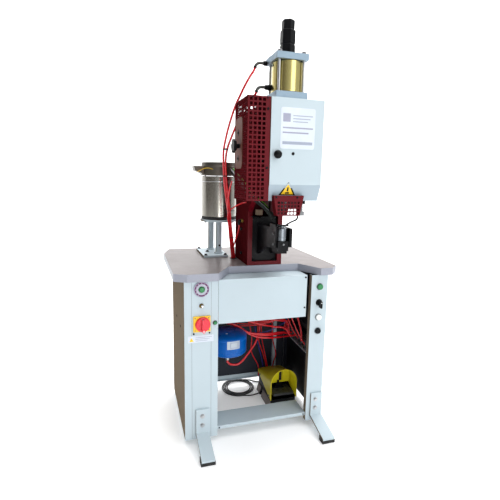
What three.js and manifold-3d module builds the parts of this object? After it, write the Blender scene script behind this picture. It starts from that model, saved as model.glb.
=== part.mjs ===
// Pneumatic snap setting press on a sheet-metal table, with a bowl feeder and a foot pedal.
// Millimetres, +X to the viewer's right, +Y to the back, +Z up, floor at z = 0.
import * as THREE from 'three';
import { mergeVertices } from 'three/addons/utils/BufferGeometryUtils.js';
import Module from 'manifold-3d';

const wasm = await Module();
wasm.setup();

// ---------------------------------------------------------------- driving dimensions
const GAP = 0.3;                 // clearance kept between pieces that touch
const SHEET = 2;                 // sheet metal
const ROUND = 24;                // sides of a round part
const SMALL_ROUND = 12;          // sides of a small round part

const tableHeight = 750;
const tableThickness = 32;
const tableUnder = tableHeight - tableThickness;
const tableHalfWidth = 362;
const tableFront = -235;
const tableBack = 364;
const recess = { left: -185, right: 266, innerLeft: -117, innerRight: 206, back: -120 };
const hoseHole = { x: -52, y: 55, radius: 15 };

const cabinetHalfDepth = 221;
const cabinetBottom = 25;
const leftColumn = { left: -322, right: -183 };
const rightColumn = { left: 231, right: 309, returnDepth: 26 };
const frontPanel = { left: -181, right: 212, bottom: 530, front: -215, topDepth: 105 };
const rail = { front: -215, back: -106, top: 65, bottom: 50 };
const backPanelBottom = 50;

const foot = { width: 55, thickness: 8, top: 163, bend: 48, toe: 364, toeHeight: 15 };
const footCentres = { left: -249, right: 279 };
const padLength = 36;

const ramAxis = { x: 46, y: -315 };
const frame = { left: -33, right: 126, front: -116, back: 92, cheek: 21, top: 1400, noseFront: -375 };
const throatTop = 1060;          // underside of the frame's overhanging head
const cover = {
  left: -48, right: 150, front: -420, back: -380, bottom: 1047, bend: 1105, top: 1397, slant: 25,
};
const knobReach = 30;            // how far the cover's ball knob stands out
const cage = { left: -130, front: -416, back: -250, bottom: 1047, top: 1397 };
const guard = { top: 1067, bottom: 995, topHalf: 58, bottomHalf: 44, centre: 26, front: -424 };

const cylinder = { capSize: 120, capHeight: 22, lowCap: 28, tubeRadius: 56, tubeTop: 1535, boltSpacing: 92 };
const pistonRodRadius = 14;
const ramRadius = 24;
const workHeight = 950;          // top of the lower die
const ramStroke = 45;
const punchTip = workHeight + ramStroke + 3;

const bowl = { x: -92, y: 200, radius: 88, bottom: 1136, top: 1198, wall: 3 };
const drum = { radius: 86, bottom: 931, top: 1133 };
const standTop = 925;
const tank = { x: -93, y: -20, radius: 89.5, bottom: 303, top: 425 };
const manifold = { depth: 40, front: -140, back: 100, shelf: 310, top: 420, valvePitch: 40 };

const armPlates = { front: -322, top: 936, left: [17, 26], right: [77, 88] };
const anvilHolder = { top: 888, bottom: 838, halfWidth: 21 };
const ramGuide = { bottom: 1110, top: 1200, halfDepth: 42 };

const elbows = { upper: { y: -268, z: 1541 }, lower: { y: -290, z: 1453 } };
const elbowEnd = { reach: 46, drop: 20 };   // from where an elbow's arm starts to its hose
const hoseRadius = 4;

const controls = {
  dial: { x: -252, z: 685, radius: 32, holeRadius: 13 },
  toggle: { x: -252, z: 616, holeRadius: 7, tilt: -12 },
  plate: { x: -251, z: 540, width: 70, height: 66, holeX: -248, holeRadius: 8, discRadius: 31 },
  smallButton: { x: -196, z: 540, radius: 7 },
  start: { x: 270, z: 665, radius: 12.5 },
  selector: { x: 270, z: 593, radius: 12.5 },
  lamp: { x: 270, z: 526, radius: 12.5 },
  stop: { x: 270, z: 462, radius: 12.5 },
};

const pedal = {
  left: 119, right: 258, front: -55, back: 150, wall: 4,
  atFront: { skirt: 46, hood: 203 },
  atBack: { skirt: 104, hood: 123 },
};
const treadle = { pinHeight: 54, tilt: 6, length: 176, halfThickness: 6 };
const cable = { radius: 3.5, coilX: 20, coilY: 186, coilInner: 64, coilOuter: 88, coilTop: 8 };

// ---------------------------------------------------------------- shape helpers
const ALONG = {
  x: new THREE.Vector3(1, 0, 0),
  y: new THREE.Vector3(0, 1, 0),
  z: new THREE.Vector3(0, 0, 1),
};

function box(x0, x1, y0, y1, z0, z1) {
  const geometry = new THREE.BoxGeometry(x1 - x0, y1 - y0, z1 - z0);
  return geometry.translate((x0 + x1) / 2, (y0 + y1) / 2, (z0 + z1) / 2);
}

// A round bar from one point along an axis; a negative length runs backwards.
function bar(radius, start, axis, length, sides = ROUND) {
  const geometry = new THREE.CylinderGeometry(radius, radius, Math.abs(length), sides);
  const turn = new THREE.Quaternion().setFromUnitVectors(ALONG.y, ALONG[axis]);
  const middle = new THREE.Vector3(...start).addScaledVector(ALONG[axis], length / 2);
  return geometry.applyQuaternion(turn).translate(middle.x, middle.y, middle.z);
}

// A round part turned about the vertical line at x, y from a closed [radius, height] profile.
function turned(profile, x, y, sides = ROUND) {
  const points = profile.map(([radius, height]) => new THREE.Vector2(radius, height));
  return new THREE.LatheGeometry(points, sides).rotateX(Math.PI / 2).translate(x, y, 0);
}

function outline(points) {
  return new THREE.Shape(points.map(([u, v]) => new THREE.Vector2(u, v)));
}

// A flat outline in X and Y, extruded from z0 up to z1.
function plan(points, z0, z1) {
  const geometry = new THREE.ExtrudeGeometry(outline(points), { depth: z1 - z0, bevelEnabled: false });
  return geometry.translate(0, 0, z0);
}

// A side outline in Y and Z, extruded from x0 to x1.
function sideways(points, x0, x1) {
  const geometry = new THREE.ExtrudeGeometry(outline(points), { depth: x1 - x0, bevelEnabled: false });
  return geometry.rotateY(Math.PI / 2).rotateX(Math.PI / 2).translate(x0, 0, 0);
}

// A front outline in X and Z, extruded from y0 back to y1.
function frontal(points, y0, y1, steps = 1) {
  const geometry = new THREE.ExtrudeGeometry(outline(points), { depth: y1 - y0, bevelEnabled: false, steps });
  return geometry.rotateX(Math.PI / 2).translate(0, y1, 0);
}

function arc(centreU, centreV, radius, fromDegrees, toDegrees, steps) {
  const points = [];
  for (let step = 0; step <= steps; step += 1) {
    const angle = THREE.MathUtils.degToRad(fromDegrees + ((toDegrees - fromDegrees) * step) / steps);
    points.push([centreU + radius * Math.cos(angle), centreV + radius * Math.sin(angle)]);
  }
  return points;
}

// A tube that follows hand-placed points.
function tube(points, radius, sides, steps) {
  const places = points.map((point) => new THREE.Vector3(...point));
  const curve = new THREE.CatmullRomCurve3(places, false, 'centripetal');
  const section = outline(arc(0, 0, radius, 0, 360 - 360 / sides, sides - 1));
  return new THREE.ExtrudeGeometry(section, { steps, extrudePath: curve, bevelEnabled: false });
}

// A flat bar that follows a route with its width level.
function track(points, halfWidth, halfHeight) {
  const positions = [];
  const path = points.map((point) => new THREE.Vector3(...point));
  path.forEach((point, index) => {
    const ahead = path[Math.min(index + 1, path.length - 1)];
    const behind = path[Math.max(index - 1, 0)];
    const along = ahead.clone().sub(behind).normalize();
    const across = new THREE.Vector3().crossVectors(along, ALONG.z).normalize();
    const up = new THREE.Vector3().crossVectors(across, along);
    [[-1, -1], [1, -1], [1, 1], [-1, 1]].forEach(([u, v]) => {
      const sidewaysPlace = point.clone().addScaledVector(across, u * halfWidth);
      positions.push(sidewaysPlace.addScaledVector(up, v * halfHeight));
    });
  });
  const index = [0, 1, 2, 0, 2, 3];
  const last = (path.length - 1) * 4;
  index.push(last, last + 2, last + 1, last, last + 3, last + 2);
  for (let ring = 0; ring < path.length - 1; ring += 1) {
    for (let side = 0; side < 4; side += 1) {
      const a = ring * 4 + side;
      const b = ring * 4 + ((side + 1) % 4);
      index.push(a, a + 4, b, b, a + 4, b + 4);
    }
  }
  const geometry = new THREE.BufferGeometry().setFromPoints(positions);
  geometry.setIndex(index);
  return geometry.toNonIndexed();
}

// ---------------------------------------------------------------- joining and cutting
function toSolid(geometry) {
  const bare = geometry.clone();
  bare.deleteAttribute('normal');
  bare.deleteAttribute('uv');
  const merged = mergeVertices(bare, 1e-4);
  const mesh = new wasm.Mesh({
    numProp: 3,
    vertProperties: new Float32Array(merged.attributes.position.array),
    triVerts: new Uint32Array(merged.index.array),
  });
  mesh.merge();
  return new wasm.Manifold(mesh);
}

function fromSolid(solid) {
  const mesh = solid.getMesh();
  const geometry = new THREE.BufferGeometry();
  geometry.setAttribute('position', new THREE.BufferAttribute(mesh.vertProperties, 3));
  geometry.setIndex(new THREE.BufferAttribute(mesh.triVerts, 1));
  return geometry.toNonIndexed();
}

function fuse(...geometries) {
  const solids = geometries.map(toSolid);
  return fromSolid(solids.reduce((whole, piece) => whole.add(piece)));
}

function cut(geometry, ...tools) {
  return fromSolid(tools.map(toSolid).reduce((whole, tool) => whole.subtract(tool), toSolid(geometry)));
}

// ---------------------------------------------------------------- scene graph
const machine = new THREE.Group();

function add(name, geometry, color, roughness, metalness, parent = machine) {
  geometry.deleteAttribute('normal');
  geometry.computeVertexNormals();
  const mesh = new THREE.Mesh(geometry, new THREE.MeshStandardMaterial({ color, roughness, metalness }));
  mesh.name = name;
  parent.add(mesh);
  return mesh;
}

const white = (name, geometry) => add(name, geometry, 0xd8e4ea, 0.45, 0.1);
const red = (name, geometry) => add(name, geometry, 0x64101c, 0.4, 0.1);
const black = (name, geometry) => add(name, geometry, 0x17181a, 0.5, 0.1);
const rubber = (name, geometry) => add(name, geometry, 0x101010, 0.8, 0);
const steel = (name, geometry) => add(name, geometry, 0xb4b6b8, 0.3, 0.9);

// ---------------------------------------------------------------- table and cabinet
function buildTable() {
  const top = plan([
    [-tableHalfWidth, tableFront + 26], [-311, tableFront], [recess.left, tableFront],
    [recess.innerLeft, recess.back], [recess.innerRight, recess.back], [recess.right, tableFront],
    [322, tableFront], [tableHalfWidth, tableFront + 45], [tableHalfWidth, tableBack],
    [-326, tableBack], [-tableHalfWidth, 237],
  ], tableUnder, tableHeight);
  const hole = bar(hoseHole.radius, [hoseHole.x, hoseHole.y, tableUnder - 1], 'z', tableThickness + 2);
  add('table_top', cut(top, hole), 0x89817f, 0.6, 0);
}

function controlHole(x, z, radius) {
  return bar(radius, [x, -cabinetHalfDepth - 1, z], 'y', 3 * SHEET, SMALL_ROUND);
}

function buildColumns() {
  const top = tableUnder - GAP;
  const { left, right } = leftColumn;
  const shell = box(left, right, -cabinetHalfDepth, cabinetHalfDepth, cabinetBottom, top);
  const hollow = box(left + SHEET, right - SHEET, -cabinetHalfDepth + SHEET, cabinetHalfDepth - SHEET,
    cabinetBottom + SHEET, top + 1);
  white('left_column', cut(shell, hollow,
    controlHole(controls.dial.x, controls.dial.z, controls.dial.holeRadius),
    controlHole(controls.toggle.x, controls.toggle.z, controls.toggle.holeRadius),
    controlHole(controls.plate.holeX, controls.plate.z, controls.plate.holeRadius),
    controlHole(controls.smallButton.x, controls.smallButton.z, controls.smallButton.radius + 0.5)));

  const inner = rightColumn.right - SHEET;
  const lip = rightColumn.returnDepth;
  const section = plan([
    [rightColumn.left, -cabinetHalfDepth], [rightColumn.right, -cabinetHalfDepth],
    [rightColumn.right, cabinetHalfDepth], [rightColumn.right - lip, cabinetHalfDepth],
    [rightColumn.right - lip, cabinetHalfDepth - SHEET], [inner, cabinetHalfDepth - SHEET],
    [inner, -cabinetHalfDepth + SHEET], [rightColumn.left + SHEET, -cabinetHalfDepth + SHEET],
    [rightColumn.left + SHEET, -cabinetHalfDepth + lip], [rightColumn.left, -cabinetHalfDepth + lip],
  ], cabinetBottom, top);
  const panelButtons = [controls.start, controls.selector, controls.lamp, controls.stop];
  white('right_column', cut(section,
    ...panelButtons.map((button) => controlHole(button.x, button.z, button.radius + 0.5))));
}

function buildPanels() {
  const top = tableUnder - GAP;
  const back = frontPanel.front + frontPanel.topDepth;
  white('front_panel', sideways([
    [frontPanel.front, frontPanel.bottom], [frontPanel.front + 16, frontPanel.bottom],
    [frontPanel.front + 16, frontPanel.bottom + SHEET], [frontPanel.front + SHEET, frontPanel.bottom + SHEET],
    [frontPanel.front + SHEET, top - SHEET], [back, top - SHEET], [back, top], [frontPanel.front, top],
  ], frontPanel.left, frontPanel.right));

  add('back_panel', box(leftColumn.right + GAP, rightColumn.right - SHEET - GAP, 203, 203 + SHEET,
    backPanelBottom, top), 0x23262e, 0.6, 0.1);

  white('front_rail', sideways([
    [rail.front, rail.bottom], [rail.front + SHEET, rail.bottom], [rail.front + SHEET, rail.top - SHEET],
    [rail.back - SHEET, rail.top - SHEET], [rail.back - SHEET, rail.bottom], [rail.back, rail.bottom],
    [rail.back, rail.top], [rail.front, rail.top],
  ], leftColumn.right + GAP, rightColumn.left - GAP));
}

// A bent plate bolted to a column, with its toe reaching out past the table edge.
function buildFoot(side, end) {
  const centre = footCentres[side];
  const sign = end === 'front' ? -1 : 1;
  const wall = sign * (cabinetHalfDepth + GAP);
  const outer = wall + sign * foot.thickness;
  const toe = sign * foot.toe;
  white(`foot_${end}_${side}`, sideways([
    [wall, foot.top], [wall, foot.bend], [toe, foot.toeHeight], [toe, foot.toeHeight + foot.thickness],
    [outer, foot.bend + foot.thickness], [outer, foot.top],
  ], centre - foot.width / 2, centre + foot.width / 2));

  const slope = (foot.bend - foot.toeHeight) / (foot.toe - cabinetHalfDepth - GAP);
  const heel = sign * (foot.toe - padLength);
  rubber(`pad_${end}_${side}`, sideways([
    [toe, 0], [heel, 0], [heel, foot.toeHeight + slope * padLength - GAP], [toe, foot.toeHeight - GAP],
  ], centre - foot.width / 2 - 2, centre + foot.width / 2 + 2));
}

// ---------------------------------------------------------------- press head and frame
function buildFrame() {
  const { left, right, front, back, cheek, top, noseFront } = frame;
  const floor = tableHeight + GAP;
  const profile = sideways([
    [front, floor], [back, floor], [back, top], [noseFront, top], [noseFront, throatTop],
    [-190, throatTop], [front, 985],
  ], left, right);
  const hollow = sideways([
    [front - 1, floor + 16], [back - 12, floor + 16], [back - 12, top - 16], [noseFront - 1, top - 16],
    [noseFront - 1, throatTop - 1], [-191, throatTop - 1], [front - 1, 985],
  ], left + cheek, right - cheek);
  const rodHole = bar(pistonRodRadius + 3, [ramAxis.x, ramAxis.y, top - 20], 'z', 30);
  const hingeLeaf = box(right - 1, cover.right, noseFront - 3, noseFront + 3, cover.bottom + 40,
    cover.top - 40);
  red('press_frame', cut(fuse(profile, hingeLeaf), hollow, rodHole));
}

function buildLowerArm() {
  const { front, top, left, right } = armPlates;
  const insideLeft = frame.left + frame.cheek + GAP;
  const insideRight = frame.right - frame.cheek - GAP;
  const plateOutline = [[front, 862], [-205, 846], [-112, 800], [-78, 800], [-78, top], [front, top]];
  const plates = [left, right].map(([start, end]) => sideways(plateOutline, start, end));
  const backPlate = box(insideLeft, insideRight, -98, -78, tableHeight + 16 + 2 * GAP, top + 26);
  const bridge = box(left[0], right[1], -262, -90, 868, 884);
  black('lower_arm', fuse(...plates, backPlate, bridge));

  const { halfWidth, bottom } = anvilHolder;
  const block = box(ramAxis.x - halfWidth, ramAxis.x + halfWidth, ramAxis.y - 22, -263, bottom,
    anvilHolder.top);
  const notch = box(0, 100, -400, ramAxis.y - 8, bottom - 1, bottom + 12);
  const armGaps = [[left[0] - 7, left[1] + GAP], [right[0] - GAP, right[1] + 12]].map(([start, end]) => box(
    start, end, front - 1, -200, 800, 950));
  black('anvil_holder', cut(block, notch, ...armGaps));

  const seat = anvilHolder.top + GAP;
  steel('lower_die', turned([
    [0, seat], [17.5, seat], [17.5, workHeight - 13], [13, workHeight - 9], [9, workHeight - 9],
    [9, workHeight], [0, workHeight],
  ], ramAxis.x, ramAxis.y));
}

function buildRam() {
  const { bottom, top, halfDepth } = ramGuide;
  const guide = box(frame.left + frame.cheek + GAP, frame.right - frame.cheek - GAP, ramAxis.y - halfDepth,
    ramAxis.y + halfDepth, bottom, top);
  steel('ram_guide', cut(guide, bar(ramRadius + GAP, [ramAxis.x, ramAxis.y, bottom - 1], 'z', top)));

  const ramBottom = 1052;
  const pistonBottom = 1502;
  const pistonRadius = cylinder.tubeRadius - 5;
  steel('ram', turned([
    [0, ramBottom], [ramRadius, ramBottom], [ramRadius, 1290], [pistonRodRadius, 1290],
    [pistonRodRadius, pistonBottom], [pistonRadius, pistonBottom], [pistonRadius, pistonBottom + 24],
    [0, pistonBottom + 24],
  ], ramAxis.x, ramAxis.y));
  steel('upper_die', turned([
    [0, punchTip], [7, punchTip], [7, 1014], [13, 1018], [13, 1034], [19, 1038], [19, ramBottom - GAP],
    [0, ramBottom - GAP],
  ], ramAxis.x, ramAxis.y));
}

// The cover is a shallow folded tray over the nose, hung on a vertical hinge at its right edge.
function buildCover() {
  const { left, right, front, back, bottom, bend, top, slant } = cover;
  const whole = sideways([
    [front, bend], [front + slant, bottom], [back, bottom], [back, top], [front, top],
  ], left, right);
  const inside = sideways([
    [front + SHEET, bend], [front + slant + SHEET, bottom + SHEET], [back + 1, bottom + SHEET],
    [back + 1, top - SHEET], [front + SHEET, top - SHEET],
  ], left + SHEET, right - SHEET);
  white('head_cover', cut(whole, inside));

  const knobX = left + 23;
  const knobZ = 1207;
  const ballRadius = 14.5;
  const ballCentre = front - knobReach + ballRadius;
  const ball = new THREE.SphereGeometry(ballRadius, 16, 10).translate(knobX, ballCentre, knobZ);
  black('cover_knob', fuse(ball, bar(5, [knobX, front - GAP, knobZ], 'y', -10, SMALL_ROUND)));

  // The guard hangs on the slanted lower band, with its sides folded back towards the punch.
  const guardOutline = (inset, past) => {
    const topHalf = guard.topHalf - inset;
    const bottomHalf = guard.bottomHalf - inset;
    return [
      [guard.centre - topHalf, guard.top + past], [guard.centre - bottomHalf, guard.bottom - past],
      [guard.centre + bottomHalf, guard.bottom - past], [guard.centre + topHalf, guard.top + past],
    ];
  };
  const face = frontal(guardOutline(0, 0), guard.front, guard.front + 32);
  const room = frontal(guardOutline(SHEET, 1), guard.front + SHEET, guard.front + 33);
  const slantRoom = sideways([
    [front - GAP, bend], [front - GAP, bend + 9], [back, bend + 9], [back, bottom - GAP],
    [front + slant - GAP, bottom - GAP],
  ], left, right);
  red('punch_guard', cut(face, room, slantRoom));
}

// The cage is a folded guard with a lid, open towards the frame and underneath.
function buildCage() {
  const { left, front, back, bottom, top } = cage;
  const step = cover.left - 0.5;
  const end = frame.left - GAP;
  const behindCover = cover.back + 6;
  const walls = plan([
    [end, back], [left, back], [left, front], [step, front], [step, behindCover - SHEET],
    [end, behindCover - SHEET], [end, behindCover], [step - SHEET, behindCover],
    [step - SHEET, front + SHEET], [left + SHEET, front + SHEET], [left + SHEET, back - SHEET],
    [end, back - SHEET],
  ], bottom, top);
  const lid = plan([
    [end, back - 1], [left + 1, back - 1], [left + 1, front + 1], [step - 1, front + 1],
    [step - 1, behindCover - 1], [end, behindCover - 1],
  ], top - SHEET, top);
  const strip = box(left - 3, left + 1, -362, -269, 1160, 1335);
  const slots = [1194, 1285].map((z) => box(left - 9, left + 9, -318, -306, z - 12, z + 12));
  red('side_cage', cut(fuse(walls, lid, strip), ...slots));

  const knobZ = 1237;
  const knobY = -330;
  const stripFace = left - 3 - GAP;
  const grip = bar(23, [stripFace - 14, knobY, knobZ], 'x', -13, ROUND);
  const lobes = [0, 1, 2, 3, 4].map((lobe) => {
    const angle = (lobe * 2 * Math.PI) / 5;
    const y = knobY + 27 * Math.cos(angle);
    return bar(9, [stripFace - 10, y, knobZ + 27 * Math.sin(angle)], 'x', -20, SMALL_ROUND);
  });
  black('star_knob', fuse(cut(grip, ...lobes), bar(8, [stripFace, knobY, knobZ], 'x', -15, SMALL_ROUND)));
}

// The four corners of the square that the tie rods stand on.
function tiePlaces(x, y) {
  const half = cylinder.boltSpacing / 2;
  return [[x - half, y - half], [x + half, y - half], [x + half, y + half], [x - half, y + half]];
}

function buildCylinder() {
  const half = cylinder.capSize / 2;
  const tieRadius = 5;
  const { x, y } = ramAxis;
  const centreX = x - 3;
  const lowBottom = frame.top + GAP;
  const lowTop = lowBottom + cylinder.lowCap;
  const highTop = cylinder.tubeTop + cylinder.capHeight;
  const square = [centreX - half, centreX + half, y - half, y + half];
  const tieHoles = (z) => tiePlaces(centreX, y).map(([tx, ty]) => bar(
    tieRadius + GAP, [tx, ty, z], 'z', 60, SMALL_ROUND));

  const rodBore = bar(pistonRodRadius + GAP, [x, y, lowBottom - 1], 'z', cylinder.lowCap + 2);
  add('cylinder_lower_cap', cut(box(...square, lowBottom, lowTop), rodBore, ...tieHoles(lowBottom + 8)),
    0xb9c4cf, 0.4, 0.6);

  const tubeBottom = lowTop + GAP;
  add('cylinder_tube', turned([
    [cylinder.tubeRadius - 4, tubeBottom], [cylinder.tubeRadius, tubeBottom],
    [cylinder.tubeRadius, cylinder.tubeTop - GAP], [cylinder.tubeRadius - 4, cylinder.tubeTop - GAP],
    [cylinder.tubeRadius - 4, tubeBottom],
  ], x, y, 32), 0xb59a4a, 0.22, 0.95);

  const upperCap = box(...square, cylinder.tubeTop, highTop);
  add('cylinder_upper_cap', cut(upperCap, ...tieHoles(cylinder.tubeTop - 1)), 0xb9c4cf, 0.4, 0.6);

  tiePlaces(centreX, y).forEach(([tx, ty], index) => {
    const rod = bar(tieRadius, [tx, ty, lowBottom + 8 + GAP], 'z', highTop + 6 - lowBottom - 8, SMALL_ROUND);
    const nut = bar(8.5, [tx, ty, highTop + GAP], 'z', 9, 6);
    steel(`tie_rod_${index + 1}`, fuse(rod, nut));
  });

  const adjusterBottom = highTop + GAP;
  const lower = bar(28, [centreX, y, adjusterBottom], 'z', 1645 - adjusterBottom, 6);
  const upper = bar(24, [centreX, y, 1644], 'z', 34, 6);
  black('stroke_adjuster', fuse(lower, upper));
}

// Elbows for the air hoses, one screwed into the upper cap and one into a boss at the tube's lower end.
const elbowFace = ramAxis.x - 3 - cylinder.capSize / 2;

function buildElbow(name, { y, z }, ...roots) {
  const { reach, drop } = elbowEnd;
  const hex = bar(8, [elbowFace - GAP, y, z], 'x', -12, 6);
  const arm = tube([
    [elbowFace - 10, y, z], [elbowFace - 22, y, z], [elbowFace - 34, y, z - 2],
    [elbowFace - reach + 4, y, z - drop / 2], [elbowFace - reach, y, z - drop],
  ], 5.5, SMALL_ROUND, 14);
  steel(name, fuse(hex, arm, ...roots));
}

// The lower elbow's boss is shaped to the cylinder's round tube.
function lowerBoss() {
  const { y, z } = elbows.lower;
  const blank = bar(10, [elbowFace - 1, y, z], 'x', 20, ROUND);
  const body = bar(cylinder.tubeRadius + GAP, [ramAxis.x, ramAxis.y, z - 20], 'z', 40, 64);
  return cut(blank, body);
}

// ---------------------------------------------------------------- bowl feeder and track
function buildFeeder() {
  const footPlate = box(-188, -68, 87, 308, tableHeight + GAP, tableHeight + 10);
  const posts = [[-118, 269], [-102, 152]].map(([x, y]) => bar(15, [x, y, tableHeight + 9], 'z', 158));
  const topPlate = bar(92, [bowl.x, bowl.y, standTop - 10], 'z', 10, 32);
  white('bowl_stand', fuse(footPlate, ...posts, topPlate));

  steel('vibrator_drum', turned([
    [0, standTop + GAP], [84, standTop + GAP], [84, drum.bottom], [drum.radius, drum.bottom],
    [drum.radius, 1106], [drum.radius - 3, 1108], [drum.radius - 3, 1111], [drum.radius, 1113],
    [drum.radius, drum.top], [0, drum.top],
  ], bowl.x, bowl.y, 32));

  const pan = frontal([
    [bowl.x - 129, 1180], [bowl.x - 124, 1158], [bowl.x - 80, 1140], [bowl.x - 80, 1180],
  ], bowl.y - 36, bowl.y + 36);
  const dish = turned([
    [0, bowl.bottom], [bowl.radius, bowl.bottom], [bowl.radius, 1180], [bowl.radius - 2, 1183],
    [bowl.radius - 2, bowl.top], [bowl.radius - 2 - bowl.wall, bowl.top], [bowl.radius - 2 - bowl.wall, 1145],
    [0, 1141],
  ], bowl.x, bowl.y, 32);
  const room = turned([[0, 1141], [83, 1145], [83, 1300], [0, 1300]], bowl.x, bowl.y, 32);
  add('feeder_bowl', fuse(cut(pan, room), dish), 0x6f6c66, 0.4, 0.7);

  // A gravity chute that drops from the bowl and levels out beside the dies.
  const route = [[-52, 96, 1160], [-58, 20, 1142], [-60, -70, 1118], [-56, -150, 1086], [-50, -205, 1056],
    [-30, -238, 1036], [-8, -256, 1016], [8, -272, 995], [20, -290, 972]];
  add('feed_track', track(route, 9, 7), 0x3c3f3b, 0.4, 0.6);
}

// ---------------------------------------------------------------- air supply
function buildAir() {
  const { x, y, bottom, top } = tank;
  const dome = 26;
  const vessel = (radius, low, high) => {
    const quarter = (centre, direction) => arc(0, 0, 1, 0, 90, 4).map(([u, v]) => [
      radius * u, centre + direction * dome * v]);
    const lower = quarter(low + dome, -1).reverse();
    return turned([...lower, ...quarter(high - dome, 1)], x, y, 28);
  };
  const nipple = bar(9, [x, y, bottom + 3], 'z', -34, SMALL_ROUND);
  const bore = bar(5, [x, y, bottom + 20], 'z', -60, SMALL_ROUND);
  const inside = vessel(tank.radius - SHEET, bottom + SHEET, top - SHEET);
  add('air_tank', cut(fuse(vessel(tank.radius, bottom, top), nipple), inside, bore), 0x0a55a8, 0.35, 0.1);

  const wall = rightColumn.right - SHEET - GAP;
  const { depth, front, back, shelf: shelfHeight, top: riserTop, valvePitch } = manifold;
  const shelf = box(wall - depth, wall, front, back, shelfHeight, shelfHeight + 3);
  const riser = box(wall - 3, wall, front, back, shelfHeight, riserTop);
  const valves = [0, 1, 2, 3, 4, 5].map((index) => {
    const start = front + 6 + index * valvePitch;
    return box(wall - depth + 8, wall - 2, start, start + 28, shelfHeight + 2, shelfHeight + 76);
  });
  add('valve_manifold', fuse(shelf, riser, ...valves), 0x8f9498, 0.4, 0.5);
}

// Two air hoses run from the elbows, tied together, down through the hole in the table.
function buildHoses() {
  // A hose leaves its elbow in line with the elbow's last stretch.
  const leaving = ({ y, z }) => [0.7, 8].map((away) => [
    elbowFace - elbowEnd.reach - 0.37 * away, y, z - elbowEnd.drop - 0.93 * away,
  ]);
  add('air_hose_upper', tube([
    ...leaving(elbows.upper), [-77, -264, 1497], [-88, -258, 1483], [-98, -248, 1462], [-106, -236, 1441], [-121, -213, 1394],
    [-136, -169, 1319], [-144, -126, 1240], [-140.5, -104, 1197], [-132.5, -82, 1134], [-121.5, -61, 1074],
    [-110, -39, 1030], [-98, -17, 982], [-88, 5, 925], [-74.5, 26, 855], [-62.5, 46, 796], [-56, 53, 752],
    [-56, 55, 700],
  ], hoseRadius, 8, 44), 0xb41920, 0.35, 0);
  add('air_hose_lower', tube([
    ...leaving(elbows.lower), [-75, -274, 1418], [-82, -258, 1413], [-88, -238, 1406], [-97, -218, 1368], [-118, -175, 1300],
    [-131, -132, 1240], [-131.5, -108, 1197], [-124, -86, 1134], [-113, -64, 1074], [-101.5, -43, 1030],
    [-89.5, -21, 982], [-79.5, 1, 925], [-66, 22, 855], [-54, 42, 796], [-47, 51, 752], [-47, 55, 700],
  ], hoseRadius, 8, 44), 0xb41920, 0.35, 0);
}

// ---------------------------------------------------------------- controls
function buildControls() {
  const face = -cabinetHalfDepth - GAP;
  const { dial, toggle, plate, smallButton } = controls;

  const ring = bar(dial.radius, [dial.x, face, dial.z], 'y', -7, ROUND);
  const ringHole = bar(dial.holeRadius, [dial.x, face + 1, dial.z], 'y', -9, SMALL_ROUND);
  add('timer_dial', cut(ring, ringHole), 0xa8a4b4, 0.4, 0);
  const knobBack = -cabinetHalfDepth + SHEET + 2;
  const knob = bar(dial.holeRadius - 1, [dial.x, knobBack, dial.z], 'y', -19, SMALL_ROUND);
  add('timer_knob', knob, 0x1e7d46, 0.4, 0);

  const lever = new THREE.CylinderGeometry(2.4, 3.2, 26, SMALL_ROUND);
  const ball = new THREE.SphereGeometry(4.6, SMALL_ROUND, 8);
  const toggleGroup = new THREE.Group();
  toggleGroup.position.set(toggle.x, -cabinetHalfDepth, toggle.z);
  toggleGroup.rotation.x = THREE.MathUtils.degToRad(toggle.tilt);
  machine.add(toggleGroup);
  add('toggle_lever', fuse(lever.translate(0, -11, 0), ball), 0xc8c8c8, 0.25, 0.9, toggleGroup);

  const halfWidth = plate.width / 2;
  const halfHeight = plate.height / 2;
  const switchPlate = box(plate.x - halfWidth, plate.x + halfWidth, face - 6, face, plate.z - halfHeight,
    plate.z + halfHeight);
  const plateHole = bar(plate.holeRadius, [plate.holeX, face + 1, plate.z], 'y', -9, SMALL_ROUND);
  add('switch_plate', cut(switchPlate, plateHole), 0xfacd28, 0.4, 0);

  const knobX = plate.holeX;
  const disc = bar(plate.discRadius, [knobX, face - 6 - GAP, plate.z], 'y', -13, ROUND);
  const grip = box(knobX - 7, knobX + 7, face - 36, face - 18, plate.z - 32, plate.z + 27);
  const stem = bar(plate.holeRadius - 1, [knobX, -cabinetHalfDepth + 14, plate.z], 'y', -30, SMALL_ROUND);
  add('switch_knob', fuse(disc, grip, stem), 0xe1233c, 0.35, 0);

  const stemBack = -cabinetHalfDepth + 12;
  const cap = (name, { x, z, radius }, color, proud) => add(
    name, bar(radius, [x, stemBack, z], 'y', -12 - proud, SMALL_ROUND), color, 0.35, 0);
  cap('auxiliary_button', smallButton, 0x146e32, 8);
  cap('start_button', controls.start, 0x14783c, 11);
  cap('white_button', controls.lamp, 0xe6ebeb, 11);
  cap('black_button', controls.stop, 0x141414, 11);

  const { selector } = controls;
  const turnStem = bar(selector.radius, [selector.x, stemBack, selector.z], 'y', -22, SMALL_ROUND);
  const handle = box(selector.x - 5, selector.x + 5, face - 28, face - 8, selector.z - 22, selector.z + 11);
  black('selector_knob', fuse(turnStem, handle));
}

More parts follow.
